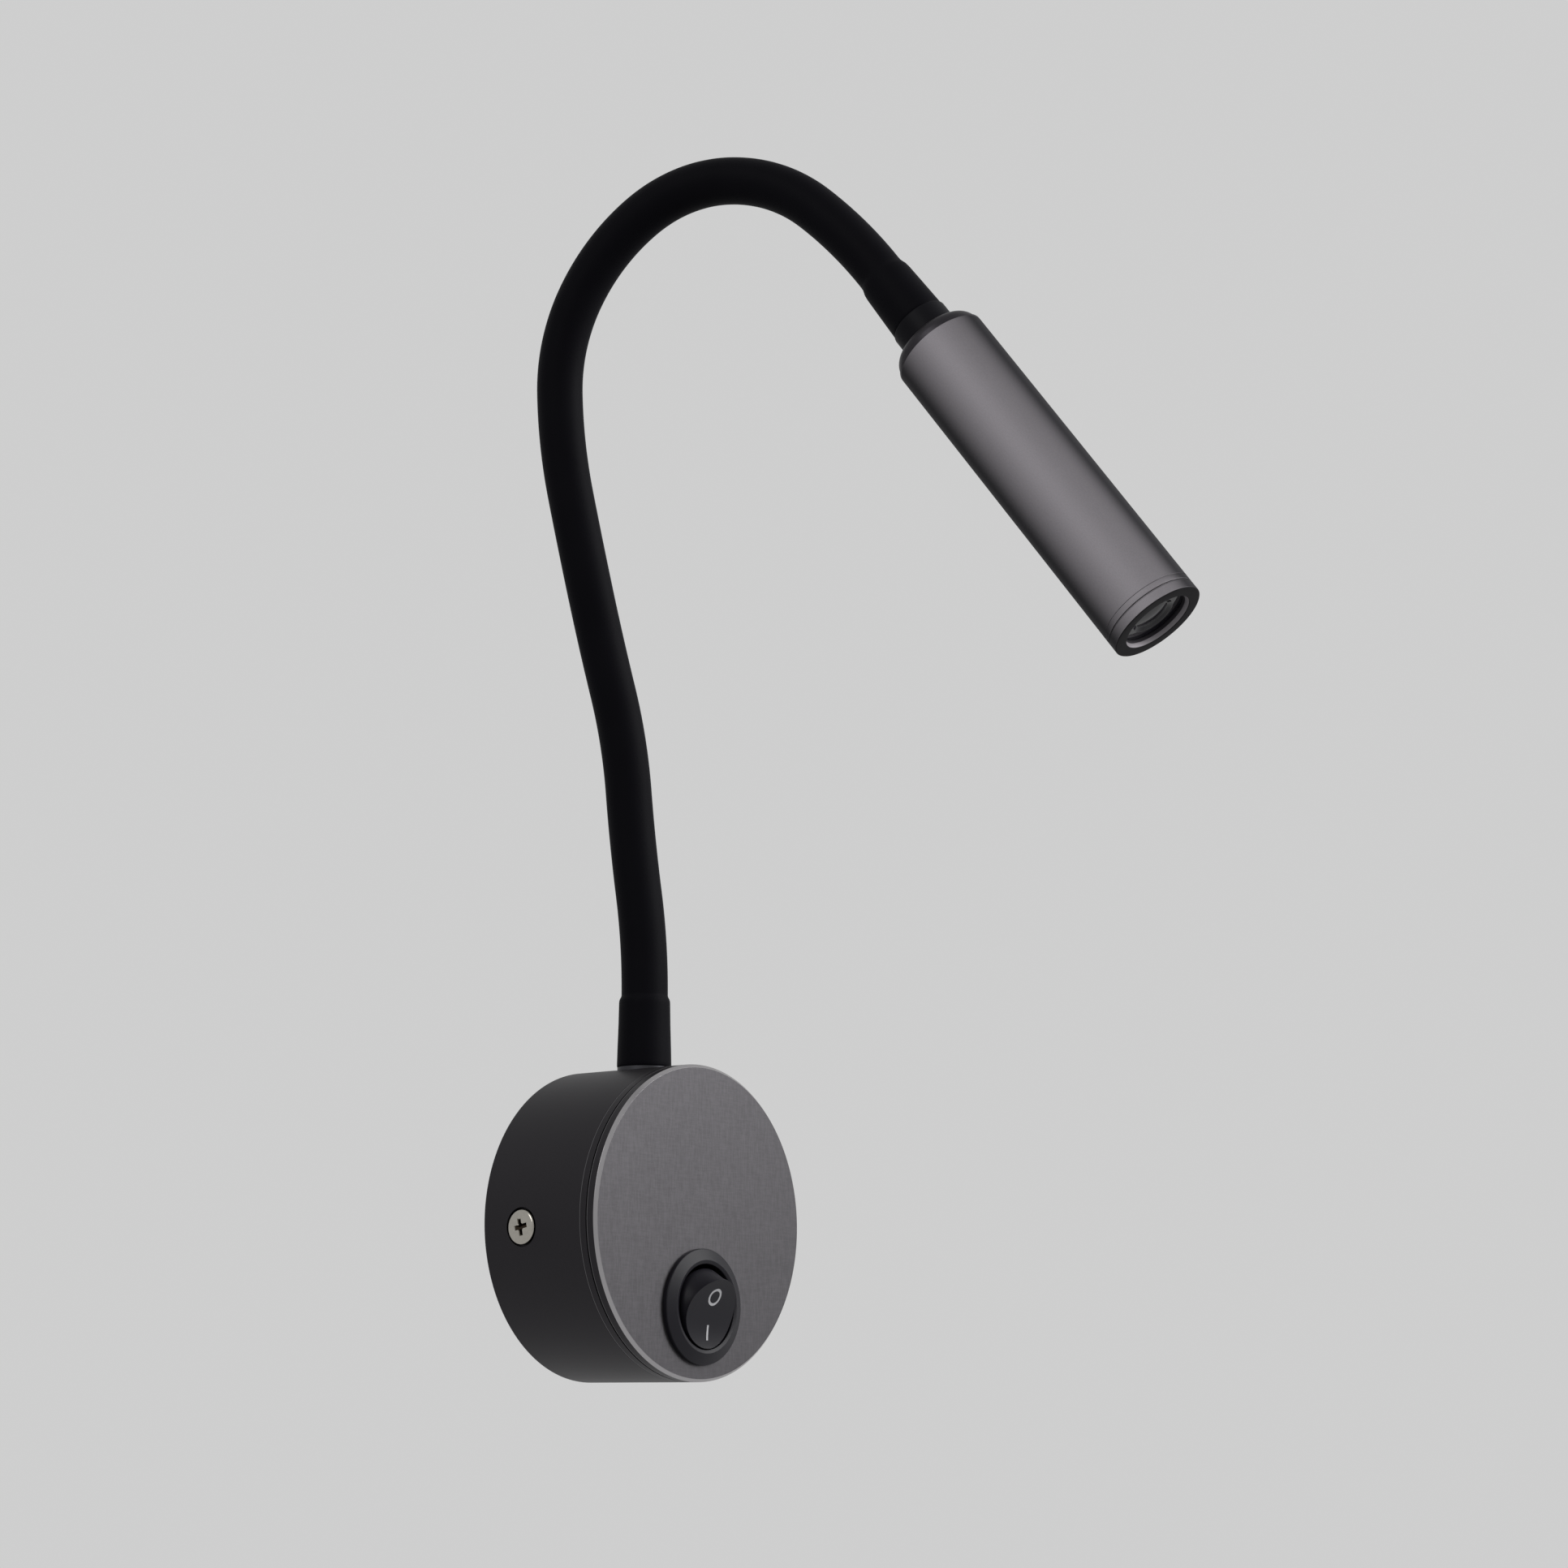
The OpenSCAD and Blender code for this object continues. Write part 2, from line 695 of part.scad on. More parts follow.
// The nut inside the housing that clamps the neck
module neck_nut() {
    color("silver") translate([0, -neck_out, pad_up - washer_t - nut_t])
        hex_nut(nut_af, stud_r + run, nut_t);
}

// The washer under the nut
module neck_washer() {
    color("silver") translate([0, -neck_out, pad_up - washer_t]) tube(washer_r, stud_r + fit, washer_t);
}

// The sleeve's lower end, stretched over the fitting
module neck_foot() {
    foot = seat_up - base_r + flange_t;
    step_top = foot_len - 0.45;
    step_len = 0.65;
    color([0.1, 0.1, 0.11]) multmatrix(foot_frame) rotate_extrude() difference() {
        polygon([
            [barrel_r + run, foot], [bulge_r - 0.2, foot], [bulge_r, foot + 0.3],
            [bulge_r - 0.35, step_top - step_len], [neck_r, step_top], [neck_r, foot_len],
            [ball_r, foot_len], [ball_r, foot_len + ball_r], [sleeve_bore_r, foot_len + ball_r],
            [sleeve_bore_r, foot_len - barrel_gap + run], [barrel_r + run, foot_len - barrel_gap + run]
        ]);
        difference() {
            translate([0, foot_len]) square([neck_d, neck_d]);
            translate([0, foot_len]) circle(r = ball_r);
        }
    }
}

// A solid rod along a link's arc, which starts at its joint and leans along +X
module arc_rod(i, r) {
    translate([arc_r(i), 0, 0]) rotate([90, 0, 180]) rotate_extrude(angle = bend_of(i))
        translate([arc_r(i), 0]) circle(r = r);
}

// Puts children at the far end of a link's arc
module at_arc_end(i) {
    translate([arc_r(i), 0, 0]) rotate([0, bend_of(i), 0]) translate([-arc_r(i), 0, 0]) children();
}

// The sleeve of one link: an arc with a cup at its joint and a ball at the next one
module sleeve(i) {
    color([0.1, 0.1, 0.11]) multmatrix(joint_frame(i)) rotate([0, 0, way_of(i)]) difference() {
        union() {
            arc_rod(i, neck_r);
            at_arc_end(i) sphere(r = ball_r);
        }
        arc_rod(i, sleeve_bore_r);
        at_arc_end(i) translate([0, 0, -ball_r / 2]) cylinder(r = ball_bore_r, h = 2 * ball_r);
        sphere(r = cup_r);
    }
}

// The spiral core of one link, inside its sleeve
module core(i) {
    color("silver") multmatrix(joint_frame(i)) rotate([0, 0, way_of(i)]) difference() {
        arc_rod(i, core_r);
        arc_rod(i, core_bore_r);
        sphere(r = cup_r);
    }
}

// The two wires from the driver to the light, through the whole neck
module neck_wires() {
    rings_per_link = 4;
    gap = wire_d / 2 + 0.12;
    tail = led_board_back - 0.3;
    turn_r = 3;
    start_up = board_up + board_h / 2 - 2;
    frames = concat(
        [shift([0, -board_back + 0.1, start_up]) * tip_x(-90)],
        [
            for (a = [0 : 30 : 90])
                shift([0, -neck_out - turn_r * (1 - sin(a)), start_up + turn_r * (1 - cos(a))])
                * tip_x(a - 90)
        ],
        [shift([0, -neck_out, base_r])],
        [
            for (i = [1 : links], k = [0 : rings_per_link - 1])
                joint_frame(i) * along_link(i, k / rings_per_link)
        ],
        [joint_frame(links + 1), head_frame, head_frame * shift([0, 0, tail])]
    );
    color("firebrick") for (s = [-1, 1])
        skin([for (f = frames) wire_ring(f, wire_d / 2, s * gap)]);
}

// Puts children in the head's frame: Z from the head's back to its front
module on_head(z = 0) {
    multmatrix(head_frame) translate([0, 0, z]) children();
}

collar_at = -collar_len;
fitting_back = barrel_gap + 0.2 - top_len;

// The sleeve's upper end, stretched over the head's fitting
module neck_top() {
    color([0.1, 0.1, 0.11]) on_head() rotate_extrude() difference() {
        polygon([
            [sleeve_bore_r, -top_len], [neck_r, -top_len], [neck_r, 1.2 - top_len],
            [bulge_r - 0.3, 2.6 - top_len], [bulge_r + 0.1, collar_at - 0.3],
            [bulge_r - 0.1, collar_at], [barrel_r + run, collar_at],
            [barrel_r + run, fitting_back - run], [sleeve_bore_r, fitting_back - run]
        ]);
        translate([0, -top_len]) circle(r = cup_r);
    }
}

// The upper end fitting: core end, barrel under the sleeve and collar, and threaded stud
module head_fitting() {
    color("silver") on_head() rotate_extrude() difference() {
        polygon([
            [core_bore_r, -top_len], [core_r, -top_len], [core_r, fitting_back],
            [barrel_r, fitting_back], [barrel_r, 0], [stud_r - run, 0],
            [stud_r - run, head_stud_len], [core_bore_r, head_stud_len]
        ]);
        translate([0, -top_len]) circle(r = cup_r);
    }
}

// The dark collar between the neck and the head
module head_collar() {
    collar_r = bulge_r + 0.35;
    color([0.13, 0.13, 0.15]) on_head(collar_at) rotate_extrude() polygon([
        [barrel_r + run, 0], [collar_r - 0.2, 0], [collar_r, 0.2], [collar_r, collar_len],
        [barrel_r + run, collar_len]
    ]);
}

// The nut inside the head that clamps the neck
module head_nut() {
    color("silver") on_head(head_wall + 0.6) hex_nut(nut_af, stud_r + run, nut_t);
}

// The head's tube with its rounded shoulder
module head_shell() {
    steps = 8;
    back_wall = head_wall + 0.6;
    side_cut = 0.35;
    color("dimgray") on_head() rotate_extrude() polygon(concat(
        [[stud_r + fit, 0]],
        [
            for (k = [0 : steps]) let (a = 90 * k / steps)
                [head_r - side_cut - (shoulder - side_cut) * (1 - sin(a)), shoulder * (1 - cos(a))]
        ],
        [
            [head_r, shoulder + 0.15], [head_r, ring_at], [head_bore_r, ring_at],
            [head_bore_r, back_wall], [stud_r + fit, back_wall]
        ]
    ));
}

// The front ring with its bevelled light opening and the spigot into the tube
module head_ring() {
    seam_w = 0.3;
    seam_d = 0.25;
    spigot_t = 0.5;
    lip = lens_back - 0.4;
    color("gray") on_head() rotate_extrude() polygon([
        [spigot_r - spigot_t, ring_at - spigot_len], [spigot_r, ring_at - spigot_len],
        [spigot_r, ring_at], [head_r - seam_d, ring_at],
        [head_r - seam_d, ring_at + seam_w], [head_r, ring_at + seam_w],
        [head_r, head_len - 0.15], [head_r - 0.15, head_len], [light_d / 2, head_len],
        [light_d / 2 - 0.5, head_len - lip], [light_d / 2 - 0.5, lens_front + 0.05],
        [spigot_r - spigot_t, lens_front + 0.05]
    ]);
}

// The clear lens that gathers the light
module lens() {
    cup_d = 3.4;
    color([0.8, 0.85, 0.9, 0.6]) on_head() difference() {
        rotate_extrude() polygon(concat(
            [[0, lens_foot], [lens_foot_r, lens_foot]],
            [
                for (k = [1 : 5]) let (t = k / 6)
                    [
                        lens_foot_r + (lens_r - 1 - lens_foot_r) * sin(90 * t),
                        lens_foot + (lens_len - lens_rim_t) * t
                    ]
            ],
            [
                [lens_r - 0.6, lens_front - lens_rim_t], [lens_r, lens_front - lens_rim_t],
                [lens_r, lens_front - 0.1], [lens_r - 0.1, lens_front],
                [4.4, lens_front], [3.6, lens_front - 0.5], [0, lens_front - 0.1]
            ]
        ));
        translate([0, 0, lens_foot - past]) cylinder(r = cup_d / 2, h = 3 + past);
    }
}

// The dark holder that the lens stands in
module lens_holder() {
    holder_r = spigot_r - 0.6;
    floor_t = 0.8;
    floor_up = 1;
    back = led_board_front + 0.1;
    color([0.1, 0.1, 0.1]) on_head() rotate_extrude() polygon([
        [holder_r - 0.8, back], [holder_r, back], [holder_r, lens_front - lens_rim_t - 0.1],
        [holder_r - 0.7, lens_front - lens_rim_t - 0.1], [holder_r - 0.9, back + floor_up + floor_t + 1],
        [lens_foot_r + 2, back + floor_up + floor_t], [lens_foot_r + 1.4, back + floor_up + floor_t],
        [lens_foot_r + 1.4, back + floor_up], [holder_r - 0.8, back + floor_up]
    ]);
}

screw_ring_r = 5;
// How far the board's screws reach into the heat sink, and how deep their holes are
led_screw_reach = 3;
led_hole_depth = led_screw_reach + 0.6;

// The round metal-core board of the light
module led_board() {
    color("white") on_head(led_board_back) difference() {
        cylinder(r = spigot_r - 0.6, h = led_board_t);
        for (s = [-1, 1]) {
            translate([s * screw_ring_r, 0, -past]) cylinder(r = 1.1, h = led_board_t + 2 * past);
        }
    }
}

// The light emitting chip with its small dome
module led_chip() {
    color("gold") on_head(led_board_front) {
        translate([-chip_size / 2 + 0.5, -chip_size / 2 + 0.5, 0])
            cube([chip_size - 1, chip_size - 1, chip_t / 2]);
        translate([0, 0, chip_t / 2]) cylinder(r1 = 1.2, r2 = 0.8, h = chip_t / 2, $fn = 32);
    }
}

// The aluminium heat sink with its wire bore and grooves
module heat_sink() {
    groove_w = 1.6;
    groove_d = 1.8;
    groove_pitch = 4;
    color("silver") on_head(sink_back) difference() {
        cylinder(r = sink_r, h = sink_len);
        translate([0, 0, -past]) cylinder(r = core_bore_r, h = sink_len + 2 * past);
        for (z = [groove_pitch : groove_pitch : sink_len - groove_pitch - groove_w])
            translate([0, 0, z]) tube(sink_r + past, sink_r - groove_d, groove_w);
        for (s = [-1, 1])
            translate([s * screw_ring_r, 0, sink_len - led_hole_depth])
                cylinder(r = 0.85, h = led_hole_depth + past);
    }
}

// Two screws that hold the light's board to the heat sink
module led_screws() {
    color("silver") on_head(led_board_front) for (s = [-1, 1])
        translate([s * screw_ring_r, 0, 0]) cross_screw(1.6, led_board_t + led_screw_reach, 2.8, 0.8);
}

wall_plate();
cable_grommet();
base_housing();
base_cover();
side_screws();
driver_board();
board_screws();
driver_coil();
driver_capacitor();
driver_chip();
terminal_block();
terminal_screws();
switch_leads();
switch_housing();
switch_terminals();
switch_blade();
rocker();
rocker_marks();
rocker_plunger();
rocker_spring();
neck_fitting();
neck_nut();
neck_washer();
neck_foot();
for (i = [1 : links]) {
    sleeve(i);
    core(i);
}
neck_wires();
neck_top();
head_fitting();
head_collar();
head_nut();
head_shell();
head_ring();
lens();
lens_holder();
led_board();
led_chip();
heat_sink();
led_screws();
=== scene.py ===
import math

import bmesh
import bpy
from mathutils import Matrix, Vector


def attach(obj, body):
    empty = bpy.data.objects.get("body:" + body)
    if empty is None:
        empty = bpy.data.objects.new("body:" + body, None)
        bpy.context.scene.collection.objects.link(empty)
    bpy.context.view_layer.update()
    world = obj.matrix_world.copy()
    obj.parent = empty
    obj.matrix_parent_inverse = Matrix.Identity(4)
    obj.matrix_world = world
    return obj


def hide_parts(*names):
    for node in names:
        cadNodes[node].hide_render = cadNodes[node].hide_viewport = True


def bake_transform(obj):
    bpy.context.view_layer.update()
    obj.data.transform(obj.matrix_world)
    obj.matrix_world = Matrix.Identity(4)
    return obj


mm = 0.001
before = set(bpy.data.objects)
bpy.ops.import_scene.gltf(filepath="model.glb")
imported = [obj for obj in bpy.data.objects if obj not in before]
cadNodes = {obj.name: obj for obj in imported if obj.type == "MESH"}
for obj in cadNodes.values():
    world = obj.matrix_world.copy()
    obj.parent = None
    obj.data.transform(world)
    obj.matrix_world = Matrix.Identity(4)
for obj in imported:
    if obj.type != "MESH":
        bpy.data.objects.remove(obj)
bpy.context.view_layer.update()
print("frame loaded:", len(cadNodes), "nodes")

# The camera stands where the photo was taken from, a little below the lamp and to its left
cameraPlace = {
    "azimuth": -51.379, "elevation": -10.901, "sideways": -39.136, "upward": -89.617,
    "distance": 646.9, "focalPixels": 3939, "photoWide": 1932,
}


def wayTo(azimuth, elevation):  # a direction from the lamp, 0 degrees being straight out of the wall
    a, e = math.radians(azimuth), math.radians(elevation)
    return Vector((math.sin(a) * math.cos(e), -math.cos(a) * math.cos(e), math.sin(e)))


def makeCamera(place):
    a = math.radians(place["azimuth"])
    back = wayTo(place["azimuth"], place["elevation"])
    right = Vector((math.cos(a), math.sin(a), 0))
    up = back.cross(right)
    data = bpy.data.cameras.new("photoCamera")
    data.sensor_width = 36
    data.lens = data.sensor_width * (place["focalPixels"] / place["photoWide"])
    camera = bpy.data.objects.new("photoCamera", data)
    spot = (back * place["distance"] - right * place["sideways"] - up * place["upward"]) * mm
    camera.matrix_world = Matrix.Translation(spot) @ Matrix((right, up, back)).transposed().to_4x4()
    bpy.context.scene.collection.objects.link(camera)
    bpy.context.scene.camera = camera


makeCamera(cameraPlace)
bpy.context.scene.view_settings.view_transform = "Standard"
print("camera placed")

# Base, as deep as in the CAD. The neck, the switch and the side screws' material read it too
base = {
    "radius": 31, "wall": 2.2, "depth": 29.2, "rim": 4.2, "disc": 2.5, "chamfer": 0.6, "lineBack": 2.3,
    "lineWidth": 0.3, "lineDepth": 0.25, "spigot": 1.4, "spigotLength": 3, "fit": 0.1, "edge": 0.14,
    "seatUp": 30.5, "seatRadius": 6.0, "studHole": 4.1, "padRadius": 8, "padUp": 27.0, "padHigh": 2.2,
    "screwOut": 9.9, "screwDrop": 1.6, "recessRadius": 3.8, "recessDepth": 1.1, "screwHole": 1.7,
    "panelHole": 10, "switchDrop": 16.5, "boardUp": 5.4, "postX": 18, "postY": 6.7, "postLength": 2.8,
    "postRadius": 2.2, "postRoot": 0.4, "postBore": 1.0, "boreRoot": 0.5,
}


# Frames: Z out of the wall, and along each part of the neck
def onWall(x=0.0, up=0.0, out=0.0):
    return Matrix.Translation(Vector((x, -out, up)) * mm) @ Matrix.Rotation(math.pi / 2, 4, "X")


neck = {
    "radius": 4.7, "wall": 1.0, "linkLength": 20.9, "footLength": 15.1, "topLength": 19.0,
    "heading": 12, "out": 14, "sides": 56, "stepsPerLink": 28,
    "forwardBend": [-7, 6, -9, 3, 0, 10, 30, 27, 38, 34, 12],
    "sideBend": [-3, -5, -3, -2, 2, 2, 2, 0, -2, -2, -2],
    "footShape": [(0.3, 5.3), (0.45, 5.44), (0.7, 5.5), (4, 5.42), (9, 5.26), (13.3, 5.18), (13.8, 5.14),
                  (14.2, 5.0), (14.6, 4.78), (14.9, 4.7), (15.1, 4.7)],
    "topShape": [(0, 4.7), (0.9, 4.74), (1.5, 4.9), (2.2, 5.12), (3.2, 5.24), (8, 5.42), (13.2, 5.6),
                 (13.7, 5.6), (13.9, 5.5), (14.0, 5.4)],
    "seamMargin": 2.2, "bendBefore": 1, "bendAfter": 2.5,
}
links = len(neck["forwardBend"])


def alongLink(k, t):  # the move from joint k to a share t of its link's arc
    forward, side = neck["forwardBend"][k - 1], neck["sideBend"][k - 1]
    bend = math.radians(max(1, math.hypot(forward, side)))
    way = Matrix.Rotation(math.atan2(-forward, side), 4, "Z")
    arc = neck["linkLength"] / bend
    lift = Matrix.Translation(Vector((arc * (1 - math.cos(t * bend)), 0, arc * math.sin(t * bend))) * mm)
    return way @ lift @ Matrix.Rotation(t * bend, 4, "Y") @ way.inverted()


def along(matrix, distance):  # the same frame, moved along its own Z
    return matrix @ Matrix.Translation((0, 0, distance * mm))


footFrame = Matrix.Translation(Vector((0, -neck["out"], base["radius"])) * mm) @ Matrix.Rotation(
    math.radians(neck["heading"]), 4, "Z")
jointFrames = {1: along(footFrame, neck["footLength"])}
for k in range(1, links + 1):
    jointFrames[k + 1] = jointFrames[k] @ alongLink(k, 1)
headFrame = along(jointFrames[links + 1], neck["topLength"])
# Frames a little before the first joint and a little after the last, which the wires pass through
bendStart = along(footFrame, neck["footLength"] - neck["bendBefore"])
bendEnd = along(jointFrames[links + 1], neck["bendAfter"])


# Materials: a Wire is a socket in an expression, a Finish makes one material's nodes
class Wire:
    def __init__(self, finish, socket):
        self.finish = finish
        self.socket = socket

    def math(self, operation, other, swapped=False):
        pair = (other, self) if swapped else (self, other)
        return self.finish.add("ShaderNodeMath", {"operation": operation}, {0: pair[0], 1: pair[1]})

    def __add__(self, other):
        return self.math("ADD", other)

    def __sub__(self, other):
        return self.math("SUBTRACT", other)

    def __mul__(self, other):
        return self.math("MULTIPLY", other)

    def __radd__(self, other):
        return self.math("ADD", other, True)

    def __rsub__(self, other):
        return self.math("SUBTRACT", other, True)

    def __rmul__(self, other):
        return self.math("MULTIPLY", other, True)

    def __pow__(self, other):
        return self.math("POWER", other)


class Finish:
    def __init__(self, name, world=None):  # a world takes the same kind of nodes
        self.material = world or bpy.data.materials.new(name)
        self.material.use_nodes = True
        self.tree = self.material.node_tree
        self.tree.nodes.clear()

    def add(self, kind, settings=None, values=None, output=0):
        node = self.tree.nodes.new(kind)
        for key, value in (settings or {}).items():
            setattr(node, key, value)
        for key, value in (values or {}).items():
            socket = node.inputs[key] if isinstance(key, int) else next(
                s for s in node.inputs if key in (s.identifier, s.name))
            if isinstance(value, Wire):
                self.tree.links.new(value.socket, socket)
            elif isinstance(value, (tuple, list)) and socket.type == "RGBA":
                socket.default_value = (*value, 1)
            else:
                socket.default_value = value
        return Wire(self, node.outputs[output]) if len(node.outputs) else None

    def place(self, stretch=(1, 1, 1), turn=(0, 0, 0), centre=(0, 0, 0)):  # a point's place in millimetres
        spot = self.add("ShaderNodeTexCoord", output="Object")
        return self.add("ShaderNodeMapping", {"vector_type": "TEXTURE"}, {
            "Vector": spot, "Location": [c * mm for c in centre], "Rotation": turn,
            "Scale": [mm / s for s in stretch]})

    def axes(self, vector):
        return [self.add("ShaderNodeSeparateXYZ", None, {0: vector}, i) for i in range(3)]

    def noise(self, vector, scale, detail=2.0, rough=0.5):
        return self.add("ShaderNodeTexNoise", None, {
            "Vector": vector, "Scale": scale, "Detail": detail, "Roughness": rough})

    def remap(self, value, low, high):  # 0 at low and 1 at high, eased between them
        return self.add("ShaderNodeMapRange", {"interpolation_type": "SMOOTHSTEP"}, {
            "Value": value, "From Min": low, "From Max": high})

    def tint(self, mask, colourA, colourB):
        return self.add("ShaderNodeMix", {"data_type": "RGBA"}, {
            "Factor_Float": mask, "A_Color": colourA, "B_Color": colourB}, 2)

    def bump(self, height, depth):  # depth in millimetres
        return self.add("ShaderNodeBump", None, {"Height": height, "Distance": depth * mm, "Strength": 1.0})

    def apart(self, value, place):  # distance from a place along an axis
        return self.add("ShaderNodeMath", {"operation": "ABSOLUTE"}, {0: value - place})

    def lines(self, value, places, half):  # 1 within half a line's width of each place
        return sum(self.remap(self.apart(value, place), half, half * 0.5) for place in places)

    def seen(self):  # 1 for what the camera sees, straight, mirrored or through something clear
        return sum(self.add("ShaderNodeLightPath", output="Is %s Ray" % kind)
                   for kind in ("Camera", "Glossy", "Transmission"))

    def speck(self, fine, cloud):  # fine grain within soft clouds
        return self.remap(fine, 0.3, 0.7) * 0.6 + cloud * 0.4

    def surface(self, **values):
        names = {"colour": "Base Color", "metal": "Metallic", "rough": "Roughness", "normal": "Normal",
                 "clear": "Transmission Weight", "ior": "IOR", "specular": "Specular IOR Level",
                 "glow": "Emission Color", "glowStrength": "Emission Strength"}
        shader = self.add("ShaderNodeBsdfPrincipled", None, {names[k]: v for k, v in values.items()})
        self.add("ShaderNodeOutputMaterial", None, {"Surface": shader})
        return self.material


def shades(colour, spread):
    return [c * (1 - spread) for c in colour], [c * (1 + spread) for c in colour]


# Anodised front cover: fine upright grain on its face, a side darker partly by finish and partly by painted
# shade, a polished chamfer partly painted as a highlight, and painted highlight lines along the seam and the
# groove's edge
coverLook = {
    "face": (0.073, 0.070, 0.075), "side": (0.028, 0.0262, 0.0295), "edge": (0.36, 0.35, 0.36),
    "line": (0.13, 0.127, 0.133), "faceAt": 29.1, "faceFade": 0.06, "faceRadius": (30.5, 30.3),
    "edgeRadius": 30.36, "edgeBack": 28.54, "edgeFade": 0.05, "lines": (25.12, 26.99), "lineHalf": 0.09,
    "grainWide": 3.2, "grainLong": 0.45, "grainRange": (0.34, 0.66), "uprightShare": 0.6, "gritScale": 3.2,
    "cloudScale": 0.06, "rough": 0.42, "roughSpread": 0.10, "edgeRough": 0.3, "bumpDepth": 0.006,
}


def anodisedCover(look):
    m = Finish("anodisedCover")
    x, y, z = m.axes(m.place())
    radius = (x * x + z * z) ** 0.5
    out = y * -1
    onFace = m.remap(out, look["faceAt"] - look["faceFade"], look["faceAt"])
    onRim = m.remap(radius, look["edgeRadius"], look["edgeRadius"] + look["edgeFade"] * 0.8)
    inFront = m.remap(out, look["edgeBack"], look["edgeBack"] + look["edgeFade"])
    # painted highlight: the chamfer's bright colour is partly its polished finish and partly a painted
    # highlight
    polishedChamferAndHighlight = onRim * inFront * (1 - onFace * m.remap(radius, *look["faceRadius"]))
    # painted highlights: thin bright lines along the seam's and the groove's edges
    onLine = m.lines(out, look["lines"], look["lineHalf"])
    wide, long = look["grainWide"], look["grainLong"]
    upright = m.remap(m.noise(m.place((wide, wide, long)), 1.0, 3.0, 0.6), *look["grainRange"])
    level = m.remap(m.noise(m.place((long, wide, wide)), 1.0, 3.0, 0.6), *look["grainRange"])
    grain = upright * look["uprightShare"] + level * (1 - look["uprightShare"])
    grit = m.noise(m.place(), look["gritScale"], 3.0, 0.65)
    cloud = m.noise(m.place(), look["cloudScale"], 2.0)
    faceTint = m.tint(grain * 0.65 + grit * 0.2 + cloud * 0.15, *shades(look["face"], 0.2))
    # painted shade: the side colour is partly a darker finish and partly painted shade, and its lines are
    # painted highlights
    sideFinishShadeAndGlints = m.tint(onLine, m.tint(grit, *shades(look["side"], 0.12)), look["line"])
    colour = m.tint(polishedChamferAndHighlight, m.tint(onFace, sideFinishShadeAndGlints, faceTint), look["edge"])
    rough = (look["rough"] + look["roughSpread"] * grit) * (1 - polishedChamferAndHighlight) + look["edgeRough"] * polishedChamferAndHighlight
    return m.surface(colour=colour, metal=0.92, rough=rough,
                     normal=m.bump(grain * 0.4 + grit * 0.6, look["bumpDepth"]))


def blasted(name, colour, rough, metal=0.9, depth=0.012, grit=5.0):
    m = Finish(name)
    p = m.place()
    fine = m.noise(p, grit, 3.0, 0.6)
    cloud = m.noise(p, 0.08, 3.0)
    tint = m.tint(m.speck(fine, cloud), *shades(colour, 0.12))
    return m.surface(colour=tint, metal=metal, rough=(rough - 0.05) + 0.1 * fine + 0.04 * cloud,
                     normal=m.bump(fine, depth))


# Blasted head: a painted highlight where it faces the camera and painted shade where it turns away; its
# turned rear shoulder and its front lip are painted dark as shade, and so is the inside of its opening below
# the bevel
headLook = {
    "body": (0.312, 0.295, 0.315), "awayShade": (0.018, 0.017, 0.020), "turned": (0.038, 0.0355, 0.040),
    "lip": (0.010, 0.0095, 0.011), "inside": (0.27, 0.255, 0.27), "line": (0.2, 0.195, 0.205),
    "shoulderEnd": 3.0, "insideStart": 73.62, "lipStart": 74.38, "lipInner": 7.08, "fade": 0.05,
    "lines": (72.2, 72.5), "lineHalf": 0.08, "lineShare": 0.35, "facing": (0.04, 0.62), "fineScale": 4.0,
    "cloudScale": 0.08, "groove": (0.2, 0.2, 14), "rough": 0.58, "turnedRough": 0.36, "lipRough": 0.26,
    "bumpDepth": 0.01,
}


